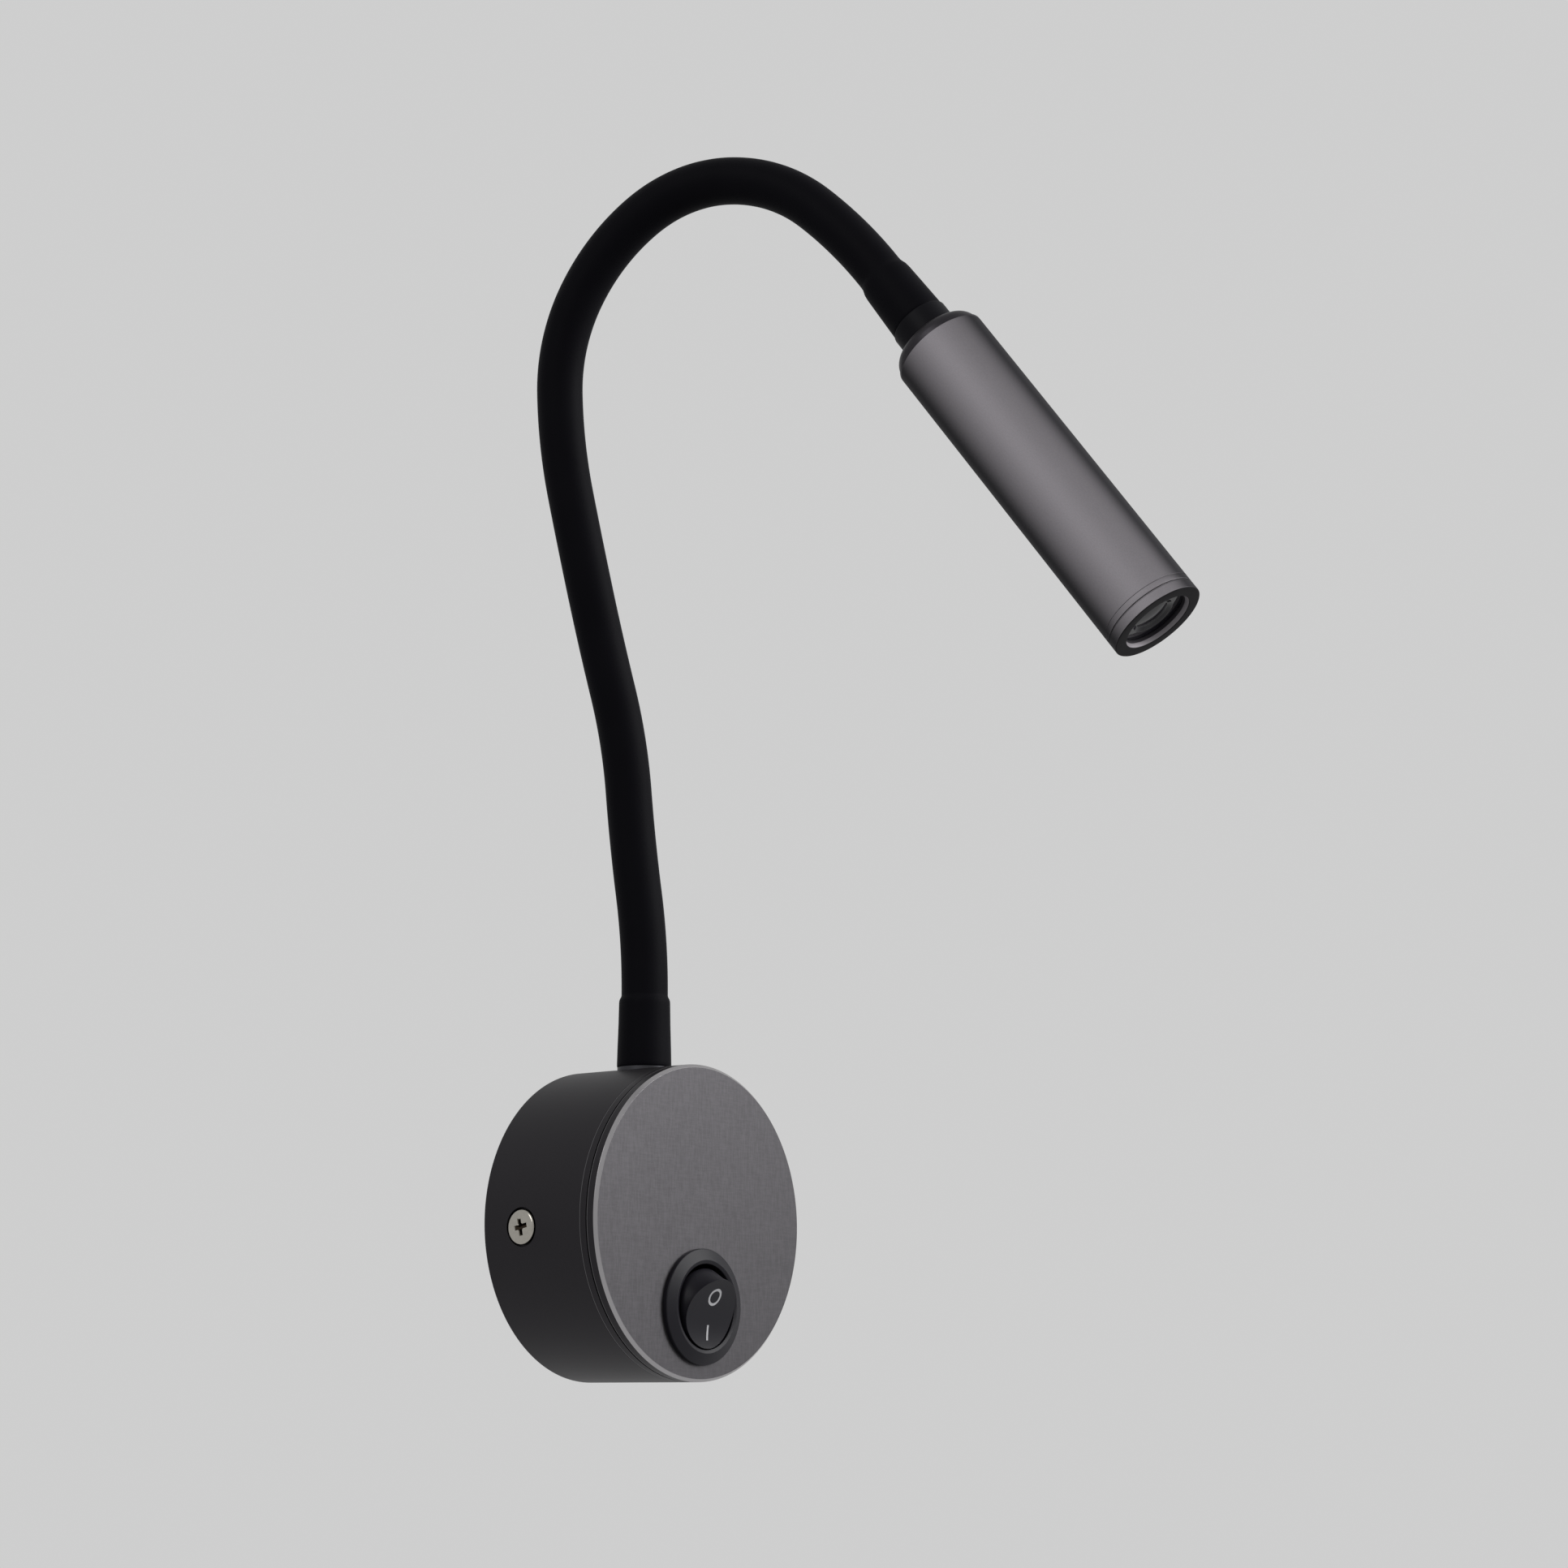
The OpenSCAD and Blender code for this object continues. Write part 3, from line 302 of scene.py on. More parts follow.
def blastedHead(look):
    m = Finish("blastedHead")
    turn, centre = headFrame.to_euler(), headFrame.translation / mm
    p = m.place(turn=turn, centre=centre)
    x, y, z = m.axes(p)
    radius = (x * x + y * y) ** 0.5
    fine = m.noise(p, look["fineScale"], 3.0, 0.6)
    cloud = m.noise(p, look["cloudScale"], 3.0)
    grooves = m.noise(m.place(look["groove"], turn, centre), 1.0, 2.0)
    # painted highlight and shade: the brightened body colour where the head faces the camera, a dark colour
    # where it turns away
    awayShade = m.remap(m.add("ShaderNodeLayerWeight", None, {"Blend": 0.5}, "Facing"), *look["facing"])
    body = m.tint(awayShade, m.tint(m.speck(fine, cloud), *shades(look["body"], 0.09)), look["awayShade"])
    fade = look["fade"]
    onShoulder = m.remap(z, look["shoulderEnd"] + fade * 0.6, look["shoulderEnd"] - fade * 0.6)
    # painted shade: the front lip is coloured near black for the dark surroundings it reflects
    onLip = m.remap(z, look["lipStart"] - fade, look["lipStart"] + fade)
    inner = m.remap(radius, look["lipInner"], look["lipInner"] - fade * 1.2)
    onLine = m.lines(z, look["lines"], look["lineHalf"])
    # painted shade: this colour, darker than the body, paints shade on the rear shoulder and deep in the
    # opening; the grooves and lower roughness are the real turned finish
    dark = m.tint(grooves, *shades(look["turned"], 0.15))
    turnedShare = onShoulder + onLip
    # painted shadow: the inside of the opening takes the dark colour below the machined bevel
    bevelAboveRecessShade = m.remap(z, look["insideStart"] - fade * 0.8, look["insideStart"] + fade * 0.8)
    wall = m.tint(bevelAboveRecessShade, dark, look["inside"])
    outer = m.tint(turnedShare, m.tint(onLine * look["lineShare"], body, look["line"]), dark)
    colour = m.tint(inner, m.tint(onLip, outer, look["lip"]), wall)
    blastedRough, turnedRough = look["rough"] + 0.1 * fine + 0.04 * cloud, look["turnedRough"] + 0.1 * grooves
    rough = blastedRough * (1 - turnedShare) + turnedRough * turnedShare + look["lipRough"] * onLip
    height = fine * (1 - turnedShare) + grooves * turnedShare
    return m.surface(colour=colour, metal=0.75, rough=rough, specular=0.05,
                     normal=m.bump(height, look["bumpDepth"]))


# Black silicone with a little dust on it
siliconeLook = {
    "dark": (0.0044, 0.0042, 0.0058), "pale": (0.0064, 0.0062, 0.0082), "dust": (0.019, 0.019, 0.022),
    "skinScale": 3.2, "dustScale": 1.7, "dustRange": (0.62, 0.8), "dustShare": 0.2, "cloudScale": 0.12,
    "rough": 0.5, "bumpDepth": 0.02,
}


def blackSilicone(look):
    m = Finish("blackSilicone")
    p = m.place()
    skin = m.noise(p, look["skinScale"], 4.0, 0.6)
    dust = m.remap(m.noise(p, look["dustScale"], 5.0, 0.75), *look["dustRange"])
    clean = m.tint(m.noise(p, look["cloudScale"], 2.0), look["dark"], look["pale"])
    return m.surface(colour=m.tint(dust * look["dustShare"], clean, look["dust"]), specular=0.03,
                     rough=look["rough"] + 0.12 * skin + 0.1 * dust, normal=m.bump(skin, look["bumpDepth"]))


def plated(name, colour, rough):
    m = Finish(name)
    p = m.place()
    haze = m.noise(p, 0.9, 4.0, 0.65)
    scratch = m.noise(m.place((9, 0.7, 9), (0.4, 0.2, 0.9)), 1.0, 3.0, 0.6)
    tint = m.tint(haze, *shades(colour, 0.1))
    return m.surface(colour=tint, metal=1.0,
                     rough=(rough - 0.06) + 0.12 * haze + 0.08 * m.remap(scratch, 0.55, 0.7),
                     normal=m.bump(scratch * 0.6 + haze * 0.4, 0.006))


# Nickel side screws: the cross recess and the rounded rim are darkened with painted shade
screwLook = {
    "face": (0.42, 0.40, 0.36), "recess": (0.035, 0.026, 0.018), "faceAt": 31.18, "crossReach": 2.5,
    "crossFade": 0.1, "rimStart": 3.0, "rimWide": 0.5, "rimShare": 0.25, "deep": 0.25, "rough": 0.12,
}


def screwPlate(look):
    m = Finish("screwNickel")
    x, y, z = m.axes(m.place(centre=(0, -base["screwOut"], -base["screwDrop"])))
    radius = (y * y + z * z) ** 0.5
    out = m.apart(x, 0)
    haze = m.noise(m.place(), 1.6, 4.0, 0.65)
    # painted shade in the cross recess
    deep = m.remap(out, look["faceAt"], look["faceAt"] - look["deep"]) * m.remap(
        radius, look["crossReach"], look["crossReach"] - look["crossFade"])
    # painted shade on the rounded rim
    rim = m.remap(radius, look["rimStart"], look["rimStart"] + look["rimWide"])
    face = m.tint(haze, *shades(look["face"], 0.16))
    colour = m.tint(deep, m.tint(rim * look["rimShare"], face, look["recess"]), look["recess"])
    return m.surface(colour=colour, metal=1.0, rough=look["rough"] + 0.1 * haze, normal=m.bump(haze, 0.02))


def moulded(name, colour, rough, depth=0.01, grit=4.5, specular=0.5):  # grit is the grain's scale
    m = Finish(name)
    p = m.place()
    grain = m.noise(p, grit, 3.0, 0.6)
    cloud = m.noise(p, 0.3, 2.0)
    return m.surface(colour=m.tint(grain * 0.5 + cloud * 0.5, *shades(colour, 0.12)),
                     rough=(rough - 0.05) + 0.1 * grain, normal=m.bump(grain, depth), specular=specular)


# The lens is coloured dark, with only a small share of clear material: painted shade standing in for the
# shaded inside seen through the clear lens
lensLook = {
    "dark": (0.0085, 0.0080, 0.0115), "pale": (0.013, 0.0122, 0.0172), "clear": 0.15, "ior": 1.49,
    "flowScale": 0.6, "rough": 0.035, "bumpDepth": 0.004,
}


def clearLens(look):
    m = Finish("clearLens")
    flow = m.noise(m.place(), look["flowScale"], 3.0)
    return m.surface(colour=m.tint(flow, look["dark"], look["pale"]), clear=look["clear"], ior=look["ior"],
                     specular=0.25, rough=look["rough"] + 0.02 * flow, normal=m.bump(flow, look["bumpDepth"]))


looks = {
    "cover": anodisedCover(coverLook),
    # painted shade: the housing's dark colour is partly a darker finish and partly painted shade
    "housing": blasted("housingAnodised", (0.028, 0.0262, 0.0295), 0.48, depth=0.006),
    "head": blastedHead(headLook),
    "collar": moulded("collarBlack", (0.008, 0.0078, 0.010), 0.46, specular=0.06),
    "silicone": blackSilicone(siliconeLook),
    "screw": screwPlate(screwLook),
    "nickel": plated("nickelPlate", (0.42, 0.40, 0.36), 0.24),
    "zinc": plated("zincPlate", (0.50, 0.51, 0.53), 0.38),
    "blackZinc": plated("blackZinc", (0.05, 0.05, 0.055), 0.4),
    "spring": plated("springSteel", (0.36, 0.36, 0.37), 0.35),
    "brass": plated("stampedBrass", (0.62, 0.46, 0.2), 0.3),
    "sink": plated("turnedAluminium", (0.66, 0.67, 0.69), 0.34),
    "switch": moulded("switchBlack", (0.0125, 0.0118, 0.0160), 0.4, specular=0.16),
    "mark": moulded("whiteInk", (0.55, 0.55, 0.57), 0.5),
    "boardGreen": moulded("solderMask", (0.02, 0.13, 0.05), 0.35, grit=1.5),
    "partBlack": moulded("partBlack", (0.025, 0.025, 0.026), 0.5),
    "ferrite": moulded("ferrite", (0.06, 0.06, 0.065), 0.6, depth=0.02, grit=3.0),
    "blockGreen": moulded("blockGreen", (0.05, 0.22, 0.1), 0.42),
    "wire": moulded("wireRed", (0.42, 0.035, 0.03), 0.45),
    "grommet": moulded("grommetRubber", (0.035, 0.035, 0.036), 0.6, depth=0.02, grit=2.0),
    "ivory": moulded("plungerIvory", (0.7, 0.67, 0.58), 0.4),
    "boardWhite": moulded("whiteMask", (0.75, 0.75, 0.74), 0.45, grit=1.5),
    "phosphor": moulded("phosphor", (0.85, 0.7, 0.15), 0.5, depth=0.02, grit=3.0),
    "holder": moulded("holderBlack", (0.012, 0.012, 0.013), 0.35, specular=0.3),
    "lens": clearLens(lensLook),
}
print("materials made:", len(looks))


# Mesh tools
def newObject(name, mesh, material=None):
    thing = bpy.data.objects.new(name, mesh)
    bpy.context.scene.collection.objects.link(thing)
    if material:
        mesh.materials.clear()
        mesh.materials.append(material)
    return thing


def meshOf(bm, name):
    mesh = bpy.data.meshes.new(name)
    bm.to_mesh(mesh)
    bm.free()
    return mesh


def placed(bm, place, name):  # a closed shape with its faces outward, set in its place
    bmesh.ops.recalc_face_normals(bm, faces=bm.faces)
    bmesh.ops.transform(bm, matrix=place, verts=bm.verts)
    return meshOf(bm, name)


def skin(bm, loops, closed=True):  # four-sided faces between each loop of points and the next
    for a, b in zip(loops, loops[1:]):
        for k in range(len(a) if closed else len(a) - 1):
            n = (k + 1) % len(a)
            bm.faces.new([a[k], a[n], b[n], b[k]])


def softened(outline, arcSteps=4):  # corners given as (radius, along, fillet) become arcs
    points = []
    count = len(outline)
    for i, corner in enumerate(outline):
        here = Vector(corner[:2])
        fillet = corner[2] if len(corner) > 2 else 0
        if not fillet:
            points.append(here)
            continue
        before = Vector(outline[i - 1][:2]) - here
        after = Vector(outline[(i + 1) % count][:2]) - here
        half = before.angle(after) / 2
        reach = min(fillet / math.tan(half), before.length * 0.49, after.length * 0.49)
        start, end = here + before.normalized() * reach, here + after.normalized() * reach
        for k in range(arcSteps + 1):  # a quadratic curve is close enough to an arc at this size
            t = k / arcSteps
            points.append(start * (1 - t) ** 2 + here * 2 * t * (1 - t) + end * t ** 2)
    return points


def split(points, longest):  # no straight run is longer than this
    result = []
    for a, b in zip(points, points[1:] + points[:1]):
        parts = max(1, math.ceil((b - a).length / longest)) if a.x > 1e-6 or b.x > 1e-6 else 1
        result += [a.lerp(b, k / parts) for k in range(parts)]
    return result


def turned(outline, place, sides=160, longest=4.0, arcSteps=4):  # a closed outline turned round Z
    points = split(softened(outline, arcSteps), longest)
    bm = bmesh.new()
    rings = []
    for p in points:
        if p.x < 1e-6:
            rings.append([bm.verts.new((0, 0, p.y * mm))])
        else:
            rings.append([bm.verts.new((p.x * mm * math.cos(2 * math.pi * k / sides),
                                        p.x * mm * math.sin(2 * math.pi * k / sides), p.y * mm))
                          for k in range(sides)])
    for a, b in zip(rings, rings[1:] + rings[:1]):
        if len(a) == 1 and len(b) == 1:
            continue
        for k in range(sides):
            n = (k + 1) % sides
            corners = [a[k % len(a)], a[n % len(a)], b[n % len(b)], b[k % len(b)]]
            bm.faces.new(list(dict.fromkeys(corners)))
    return placed(bm, place, "turned")


def prism(outline, low, high, place, topScale=1.0):  # a flat outline drawn out along Z
    bm = bmesh.new()
    bottom = [bm.verts.new((x * mm, y * mm, low * mm)) for x, y in outline]
    top = [bm.verts.new((x * mm * topScale, y * mm * topScale, high * mm)) for x, y in outline]
    bm.faces.new(bottom[::-1])
    bm.faces.new(top)
    skin(bm, [bottom, top])
    return placed(bm, place, "prism")


def rod(radius, low, high, place, sides=64):
    return turned([(0, low), (radius, low), (radius, high), (0, high)], place, sides, longest=1000)


def block(low, high, place):
    return prism([(low[0], low[1]), (high[0], low[1]), (high[0], high[1]), (low[0], high[1])],
                 low[2], high[2], place)


def settle(thing):  # works the modifiers into the mesh
    graph = bpy.context.evaluated_depsgraph_get()
    graph.update()
    mesh = bpy.data.meshes.new_from_object(thing.evaluated_get(graph), depsgraph=graph)
    thing.modifiers.clear()
    thing.data = mesh
    return thing


past = 1  # how far a cutting tool reaches past what it cuts


def cut(thing, meshes, operation="DIFFERENCE"):
    tools = [newObject("tool", mesh) for mesh in meshes]
    for tool in tools:
        change = thing.modifiers.new("cut", "BOOLEAN")
        change.operation, change.solver, change.object = operation, "EXACT", tool
    settle(thing)
    for tool in tools:
        bpy.data.objects.remove(tool)
    return thing


def smoothTo(mesh, corner, weld=0.0):  # smooth shading but for corners sharper than this
    bm = bmesh.new()
    bm.from_mesh(mesh)
    if weld:
        bmesh.ops.remove_doubles(bm, verts=bm.verts, dist=weld * mm)
    for face in bm.faces:
        face.smooth = True
    for edge in bm.edges:
        edge.smooth = len(edge.link_faces) == 2 and edge.calc_face_angle(0) < math.radians(corner)
    bm.to_mesh(mesh)
    bm.free()


def finishEdges(thing, width=0.0, corner=35, segments=2):  # rounds sharp edges and evens the shading
    if width:
        bevel = thing.modifiers.new("edges", "BEVEL")
        bevel.width, bevel.segments, bevel.miter_outer = width * mm, segments, "MITER_ARC"
        bevel.limit_method, bevel.angle_limit = "ANGLE", math.radians(corner)
        bevel.use_clamp_overlap = True
        settle(thing)
    smoothTo(thing.data, corner, weld=0.0005)
    even = thing.modifiers.new("even", "WEIGHTED_NORMAL")
    even.keep_sharp, even.weight = True, 80
    return settle(thing)


def joined(name, meshes, material):
    bm = bmesh.new()
    for mesh in meshes:
        bm.from_mesh(mesh)
    return newObject(name, meshOf(bm, name), material)


def stand(thing, body, slot, *nodes):
    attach(thing, body)
    if nodes:
        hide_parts(*nodes)
    return thing


# The neck's line
def shapeAt(shape, z):
    for (a, ra), (b, rb) in zip(shape, shape[1:]):
        if z <= b:
            return ra + (rb - ra) * (z - a) / (b - a)
    return shape[-1][1]


def fineSteps(shape, longest=0.75):
    result = [shape[0][0]]
    for (a, _), (b, _) in zip(shape, shape[1:]):
        parts = math.ceil((b - a) / longest)
        result += [a + (b - a) * n / parts for n in range(1, parts + 1)]
    return result


def linkFrames(steps, before):  # frames through all links, and the number of each mid-link's frame
    frames = [jointFrames[k] @ alongLink(k, n / steps) for k in range(1, links + 1) for n in range(steps)]
    return frames, {k: before + (k - 1) * steps + steps // 2 for k in range(1, links + 1)}


def neckLine():  # points and radii from the foot to the collar, and the place of each mid-link
    foot, top = fineSteps(neck["footShape"])[:-1], fineSteps(neck["topShape"])
    middle, seams = linkFrames(neck["stepsPerLink"], len(foot))
    frames = [along(footFrame, z) for z in foot] + middle + [along(jointFrames[links + 1], z) for z in top]
    girths = [shapeAt(neck["footShape"], z) for z in foot] + [neck["radius"]] * len(middle)
    girths += [shapeAt(neck["topShape"], z) for z in top]
    return [f.translation for f in frames], girths, seams


def tubeTree():  # a tube along the object's line, as thick as its points' girth
    tree = bpy.data.node_groups.new("neckTube", "GeometryNodeTree")
    tree.interface.new_socket("Geometry", in_out="OUTPUT", socket_type="NodeSocketGeometry")
    tree.interface.new_socket("Line", in_out="INPUT", socket_type="NodeSocketGeometry")
    sides = tree.interface.new_socket("Sides", in_out="INPUT", socket_type="NodeSocketInt")
    entry, leave, curve, girth, circle, tube = [tree.nodes.new(kind) for kind in (
        "NodeGroupInput", "NodeGroupOutput", "GeometryNodeMeshToCurve", "GeometryNodeInputNamedAttribute",
        "GeometryNodeCurvePrimitiveCircle", "GeometryNodeCurveToMesh")]
    girth.inputs["Name"].default_value = "girth"
    circle.inputs["Radius"].default_value = 1.0
    for giver, output, taker, socket in (
            (entry, "Line", curve, "Mesh"), (entry, "Sides", circle, "Resolution"),
            (curve, "Curve", tube, "Curve"), (circle, "Curve", tube, "Profile Curve"),
            (girth, "Attribute", tube, "Scale"), (tube, "Mesh", leave, "Geometry")):
        tree.links.new(giver.outputs[output], taker.inputs[socket])
    return tree, sides.identifier


tubeMaker, sidesSocket = tubeTree()


def tubeAlong(points, girths, sides):  # a plain mesh, ring after ring
    line = bpy.data.meshes.new("line")
    line.from_pydata([tuple(p) for p in points], [(i, i + 1) for i in range(len(points) - 1)], [])
    line.attributes.new("girth", "FLOAT", "POINT").data.foreach_set("value", [g * mm for g in girths])
    thing = newObject("neckLine", line)
    maker = thing.modifiers.new("tube", "NODES")
    maker.node_group = tubeMaker
    maker[sidesSocket] = sides
    settle(thing)
    mesh = thing.data
    bpy.data.objects.remove(thing)
    return mesh


def ringPiece(name, mesh, sides, first, last, wall, material):  # a stretch of rings, hollow if it has a wall
    bm = bmesh.new()
    verts = [[bm.verts.new(mesh.vertices[r * sides + k].co) for k in range(sides)]
             for r in range(first, last + 1)]
    skin(bm, verts)
    centre = sum((v.co for v in verts[0]), Vector()) / sides
    face = next(iter(bm.faces))
    face.normal_update()
    if face.normal.dot(face.calc_center_median() - centre) < 0:
        bmesh.ops.reverse_faces(bm, faces=bm.faces)
    if not wall:
        bm.faces.new(verts[0])
        bm.faces.new(verts[-1][::-1])
        bmesh.ops.recalc_face_normals(bm, faces=bm.faces)
    thing = newObject(name, meshOf(bm, name), material)
    if wall:
        inner = thing.modifiers.new("wall", "SOLIDIFY")
        inner.thickness, inner.offset = wall * mm, -1
        settle(thing)
    smoothTo(thing.data, corner=60)
    return thing


def bendPiece(thing, k, points, seams):  # piece k reaches across joint k; its place is baked into its mesh
    before = "base" if k == 1 else "link_%d" % (k - 1)
    after = "head" if k == links + 1 else "link_%d" % k
    start = bendStart.translation if k == 1 else points[seams[k - 1]]
    end = bendEnd.translation if k == links + 1 else points[seams[k]]
    step = (end - start).normalized() * neck["seamMargin"] * mm
    start + step * (k > 1)
    end - step * (k <= links)
    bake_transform(thing)


def seamEnds(seams, count):  # the first and last ring of each piece
    edges = [0] + [seams[k] for k in range(1, links + 1)] + [count - 1]
    return list(zip(edges, edges[1:]))


def makeSleeve():
    points, girths, seams = neckLine()
    mesh = tubeAlong(points, girths, neck["sides"])
    for k, (first, last) in enumerate(seamEnds(seams, len(points)), 1):
        piece = ringPiece("neckSleeve_%d" % k, mesh, neck["sides"], first, last, neck["wall"],
                          looks["silicone"])
        bendPiece(piece, k, points, seams)
        stands = ["sleeve_%d" % k] if k <= links else []
        stands += ["neck_foot"] if k == 1 else ["neck_top"] if k == links + 1 else []
        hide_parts(*stands)


makeSleeve()

# The spiral core inside the sleeve, with its turns
core = {"radius": 3.6, "groove": 0.28, "wall": 1.0, "turn": 0.8, "sides": 32}


def makeCore():
    steps = 4 * round(neck["linkLength"] / core["turn"] / 2)  # two a turn, and an even number of turns
    frames, seams = linkFrames(steps, 0)
    points = [f.translation for f in frames + [jointFrames[links + 1]]]
    girths = [core["radius"] - core["groove"] * (n % 2) for n in range(len(points))]
    mesh = tubeAlong(points, girths, core["sides"])
    for k, (first, last) in enumerate(seamEnds(seams, len(points)), 1):
        piece = ringPiece("spiralCore_%d" % k, mesh, core["sides"], first, last, core["wall"],
                          looks["spring"])
        bendPiece(piece, k, points, seams)
        if k <= links:
            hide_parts("core_%d" % k)


makeCore()

# The two wires inside the core, from the driver's board to the light's board
wires = {
    "radius": 0.85, "aside": 0.97, "sides": 12, "stepsPerLink": 12, "startOut": 22.2, "startUp": 12.9,
    "turn": 3, "turnSteps": 6, "tail": 60.9,
}


def tipped(out, up, degrees):
    return Matrix.Translation(Vector((0, -out, up)) * mm) @ Matrix.Rotation(math.radians(degrees), 4, "X")


def wireFrames(w):  # one frame for each ring, and the ring at each mid-link
    start = [tipped(w["startOut"], w["startUp"], -90)]
    for n in range(w["turnSteps"] + 1):
        a = math.pi / 2 * n / w["turnSteps"]
        start.append(tipped(neck["out"] + w["turn"] * (1 - math.sin(a)),
                            w["startUp"] + w["turn"] * (1 - math.cos(a)), math.degrees(a) - 90))
    start += [tipped(neck["out"], base["radius"], 0), bendStart]
    middle, seams = linkFrames(w["stepsPerLink"], len(start))
    end = [jointFrames[links + 1], bendEnd, headFrame, along(headFrame, w["tail"])]
    return start + middle + end, seams


def makeWires(w):
    frames, seams = wireFrames(w)
    points = [f.translation for f in frames]
    turn = [2 * math.pi * n / w["sides"] for n in range(w["sides"])]
    rings = {}
    for s in (-1, 1):
        rings[s] = bpy.data.meshes.new("wireRings")
        rings[s].from_pydata([f @ (Vector((s * w["aside"] + w["radius"] * math.cos(t),
                                           w["radius"] * math.sin(t), 0)) * mm)
                              for f in frames for t in turn], [], [])
    for k, (first, last) in enumerate(seamEnds(seams, len(frames)), 1):
        pair = [ringPiece("wire", rings[s], w["sides"], first, last, 0, looks["wire"]) for s in (-1, 1)]
        piece = joined("neckWires_%d" % k, [one.data for one in pair], looks["wire"])
        for one in pair:
            bpy.data.objects.remove(one)
        bendPiece(piece, k, points, seams)
        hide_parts("neck_wires")


makeWires(wires)
print("neck made")


# Base housing and cover
def onSide(s):
    spot = Matrix.Translation(Vector((0, -base["screwOut"], -base["screwDrop"])) * mm)
    return spot @ Matrix.Rotation(s * math.pi / 2, 4, "Y")


def makeHousing(b):
    inner, seam = b["radius"] - b["wall"], b["depth"] - b["rim"]
    thing = newObject("baseHousing", turned([
        (inner, 0, 0.2), (b["radius"], 0, 0.3), (b["radius"], seam, 0.1), (inner, seam, 0.2)],
        onWall(), sides=192), looks["housing"])
    upright = Matrix.Translation(Vector((0, -neck["out"], 0)) * mm)
    cut(thing, [rod(b["padRadius"], b["padUp"], b["padUp"] + b["padHigh"], upright)], "UNION")
    tools = [rod(b["studHole"], b["padUp"] - 2 * past, b["radius"] + 2 * past, upright),
             rod(b["seatRadius"], b["seatUp"], b["radius"] + 2 * past, upright)]
    for s in (-1, 1):
        tools += [rod(b["screwHole"], inner - 2 * past, b["radius"] + past, onSide(s), sides=32),
                  rod(b["recessRadius"], b["radius"] - b["recessDepth"], b["radius"] + past, onSide(s))]
    finishEdges(cut(thing, tools), b["edge"])
    stand(thing, "base", "anodised", "base_housing")


def makeCover(b):
    seam, back, line = b["depth"] - b["rim"], b["depth"] - b["disc"], b["depth"] - b["lineBack"]
    spigot, r = b["radius"] - b["wall"] - b["fit"], b["radius"]
    thing = newObject("baseCover", turned([
        (0, back), (spigot - b["spigot"], back), (spigot - b["spigot"], seam - b["spigotLength"]),
        (spigot, seam - b["spigotLength"], 0.2), (spigot, seam), (r, seam, 0.1),
        (r, line - b["lineWidth"], 0.07), (r - b["lineDepth"], line - b["lineWidth"]),
        (r - b["lineDepth"], line), (r, line, 0.07), (r, b["depth"] - b["chamfer"], 0.08),
        (r - b["chamfer"], b["depth"], 0.08), (0, b["depth"])], onWall(), sides=192), looks["cover"])
    spots = [(sx * b["postX"], b["boardUp"] + sy * b["postY"]) for sx in (-1, 1) for sy in (-1, 1)]
    low = back - b["postLength"]
    cut(thing, [rod(b["postRadius"], low, back + b["postRoot"], onWall(x, z), sides=32)
                for x, z in spots], "UNION")
    holes = [rod(b["postBore"], low - past, back + b["boreRoot"], onWall(x, z), sides=24)
             for x, z in spots]
    panel = rod(b["panelHole"], back - past, b["depth"] + past, onWall(0, -b["switchDrop"]), sides=96)
    cut(thing, holes + [panel])
    finishEdges(thing)
    stand(thing, "base", "anodised", "base_cover")


makeHousing(base)
makeCover(base)
print("base made")

# Side screws with cross recesses
sideScrew = {
    "head": 3.4, "height": 1.42, "thread": 1.5, "pitch": 0.5, "length": 5.6, "seat": 29.9,
    "armLong": 1.9, "armWide": 0.5, "recess": 1.05, "taper": 0.5, "web": 0.12, "spread": 2.2, "turn": 0.2,
    "over": 0.4, "core": 0.22, "tip": 0.5, "tipLength": 0.4, "rimShare": 0.93, "crownShare": 0.985,
    "edge": 0.05,
}


def crossOutline(long, wide, web):  # half an arm's length and width, and the web between two arms
    quarter = [(long, -wide), (long, wide), (wide + web, wide), (wide, wide + web)]
    points = []
    for turn in range(4):
        c, s = round(math.cos(turn * math.pi / 2)), round(math.sin(turn * math.pi / 2))
        points += [(c * x - s * y, s * x + c * y) for x, y in quarter]
    return points


def crossScrew(name, s, place):
    threads = []
    for n in range(round(s["length"] / s["pitch"])):
        z = -s["length"] + s["tipLength"] + n * s["pitch"]
        if z < -s["tipLength"]:
            threads += [(s["thread"] - s["core"], z), (s["thread"], z + s["pitch"] / 2)]
    outline = [(0, -s["length"]), (s["thread"] - s["tip"], -s["length"])] + threads + [
        (s["thread"], -0.1), (s["thread"], 0), (s["head"], 0, 0.12),
        (s["head"], s["height"] * s["rimShare"], 0.6),
        (s["head"] / 2, s["height"] * s["crownShare"]), (0, s["height"])]
    thing = newObject(name, turned(outline, place, sides=96, longest=1.2, arcSteps=8), looks["screw"])
    cross = crossOutline(s["armLong"] * s["taper"], s["armWide"] * s["taper"], s["web"])
    cut(thing, [prism(cross, s["height"] - s["recess"], s["height"] + s["over"], place, s["spread"])])
    return finishEdges(thing, s["edge"], corner=40)


for side, name in ((-1, "sideScrewLeft"), (1, "sideScrewRight")):
    spot = along(onSide(side), sideScrew["seat"]) @ Matrix.Rotation(sideScrew["turn"], 4, "Z")
    stand(crossScrew(name, sideScrew, spot), "base", "nickel", "side_screws")
print("screws made")

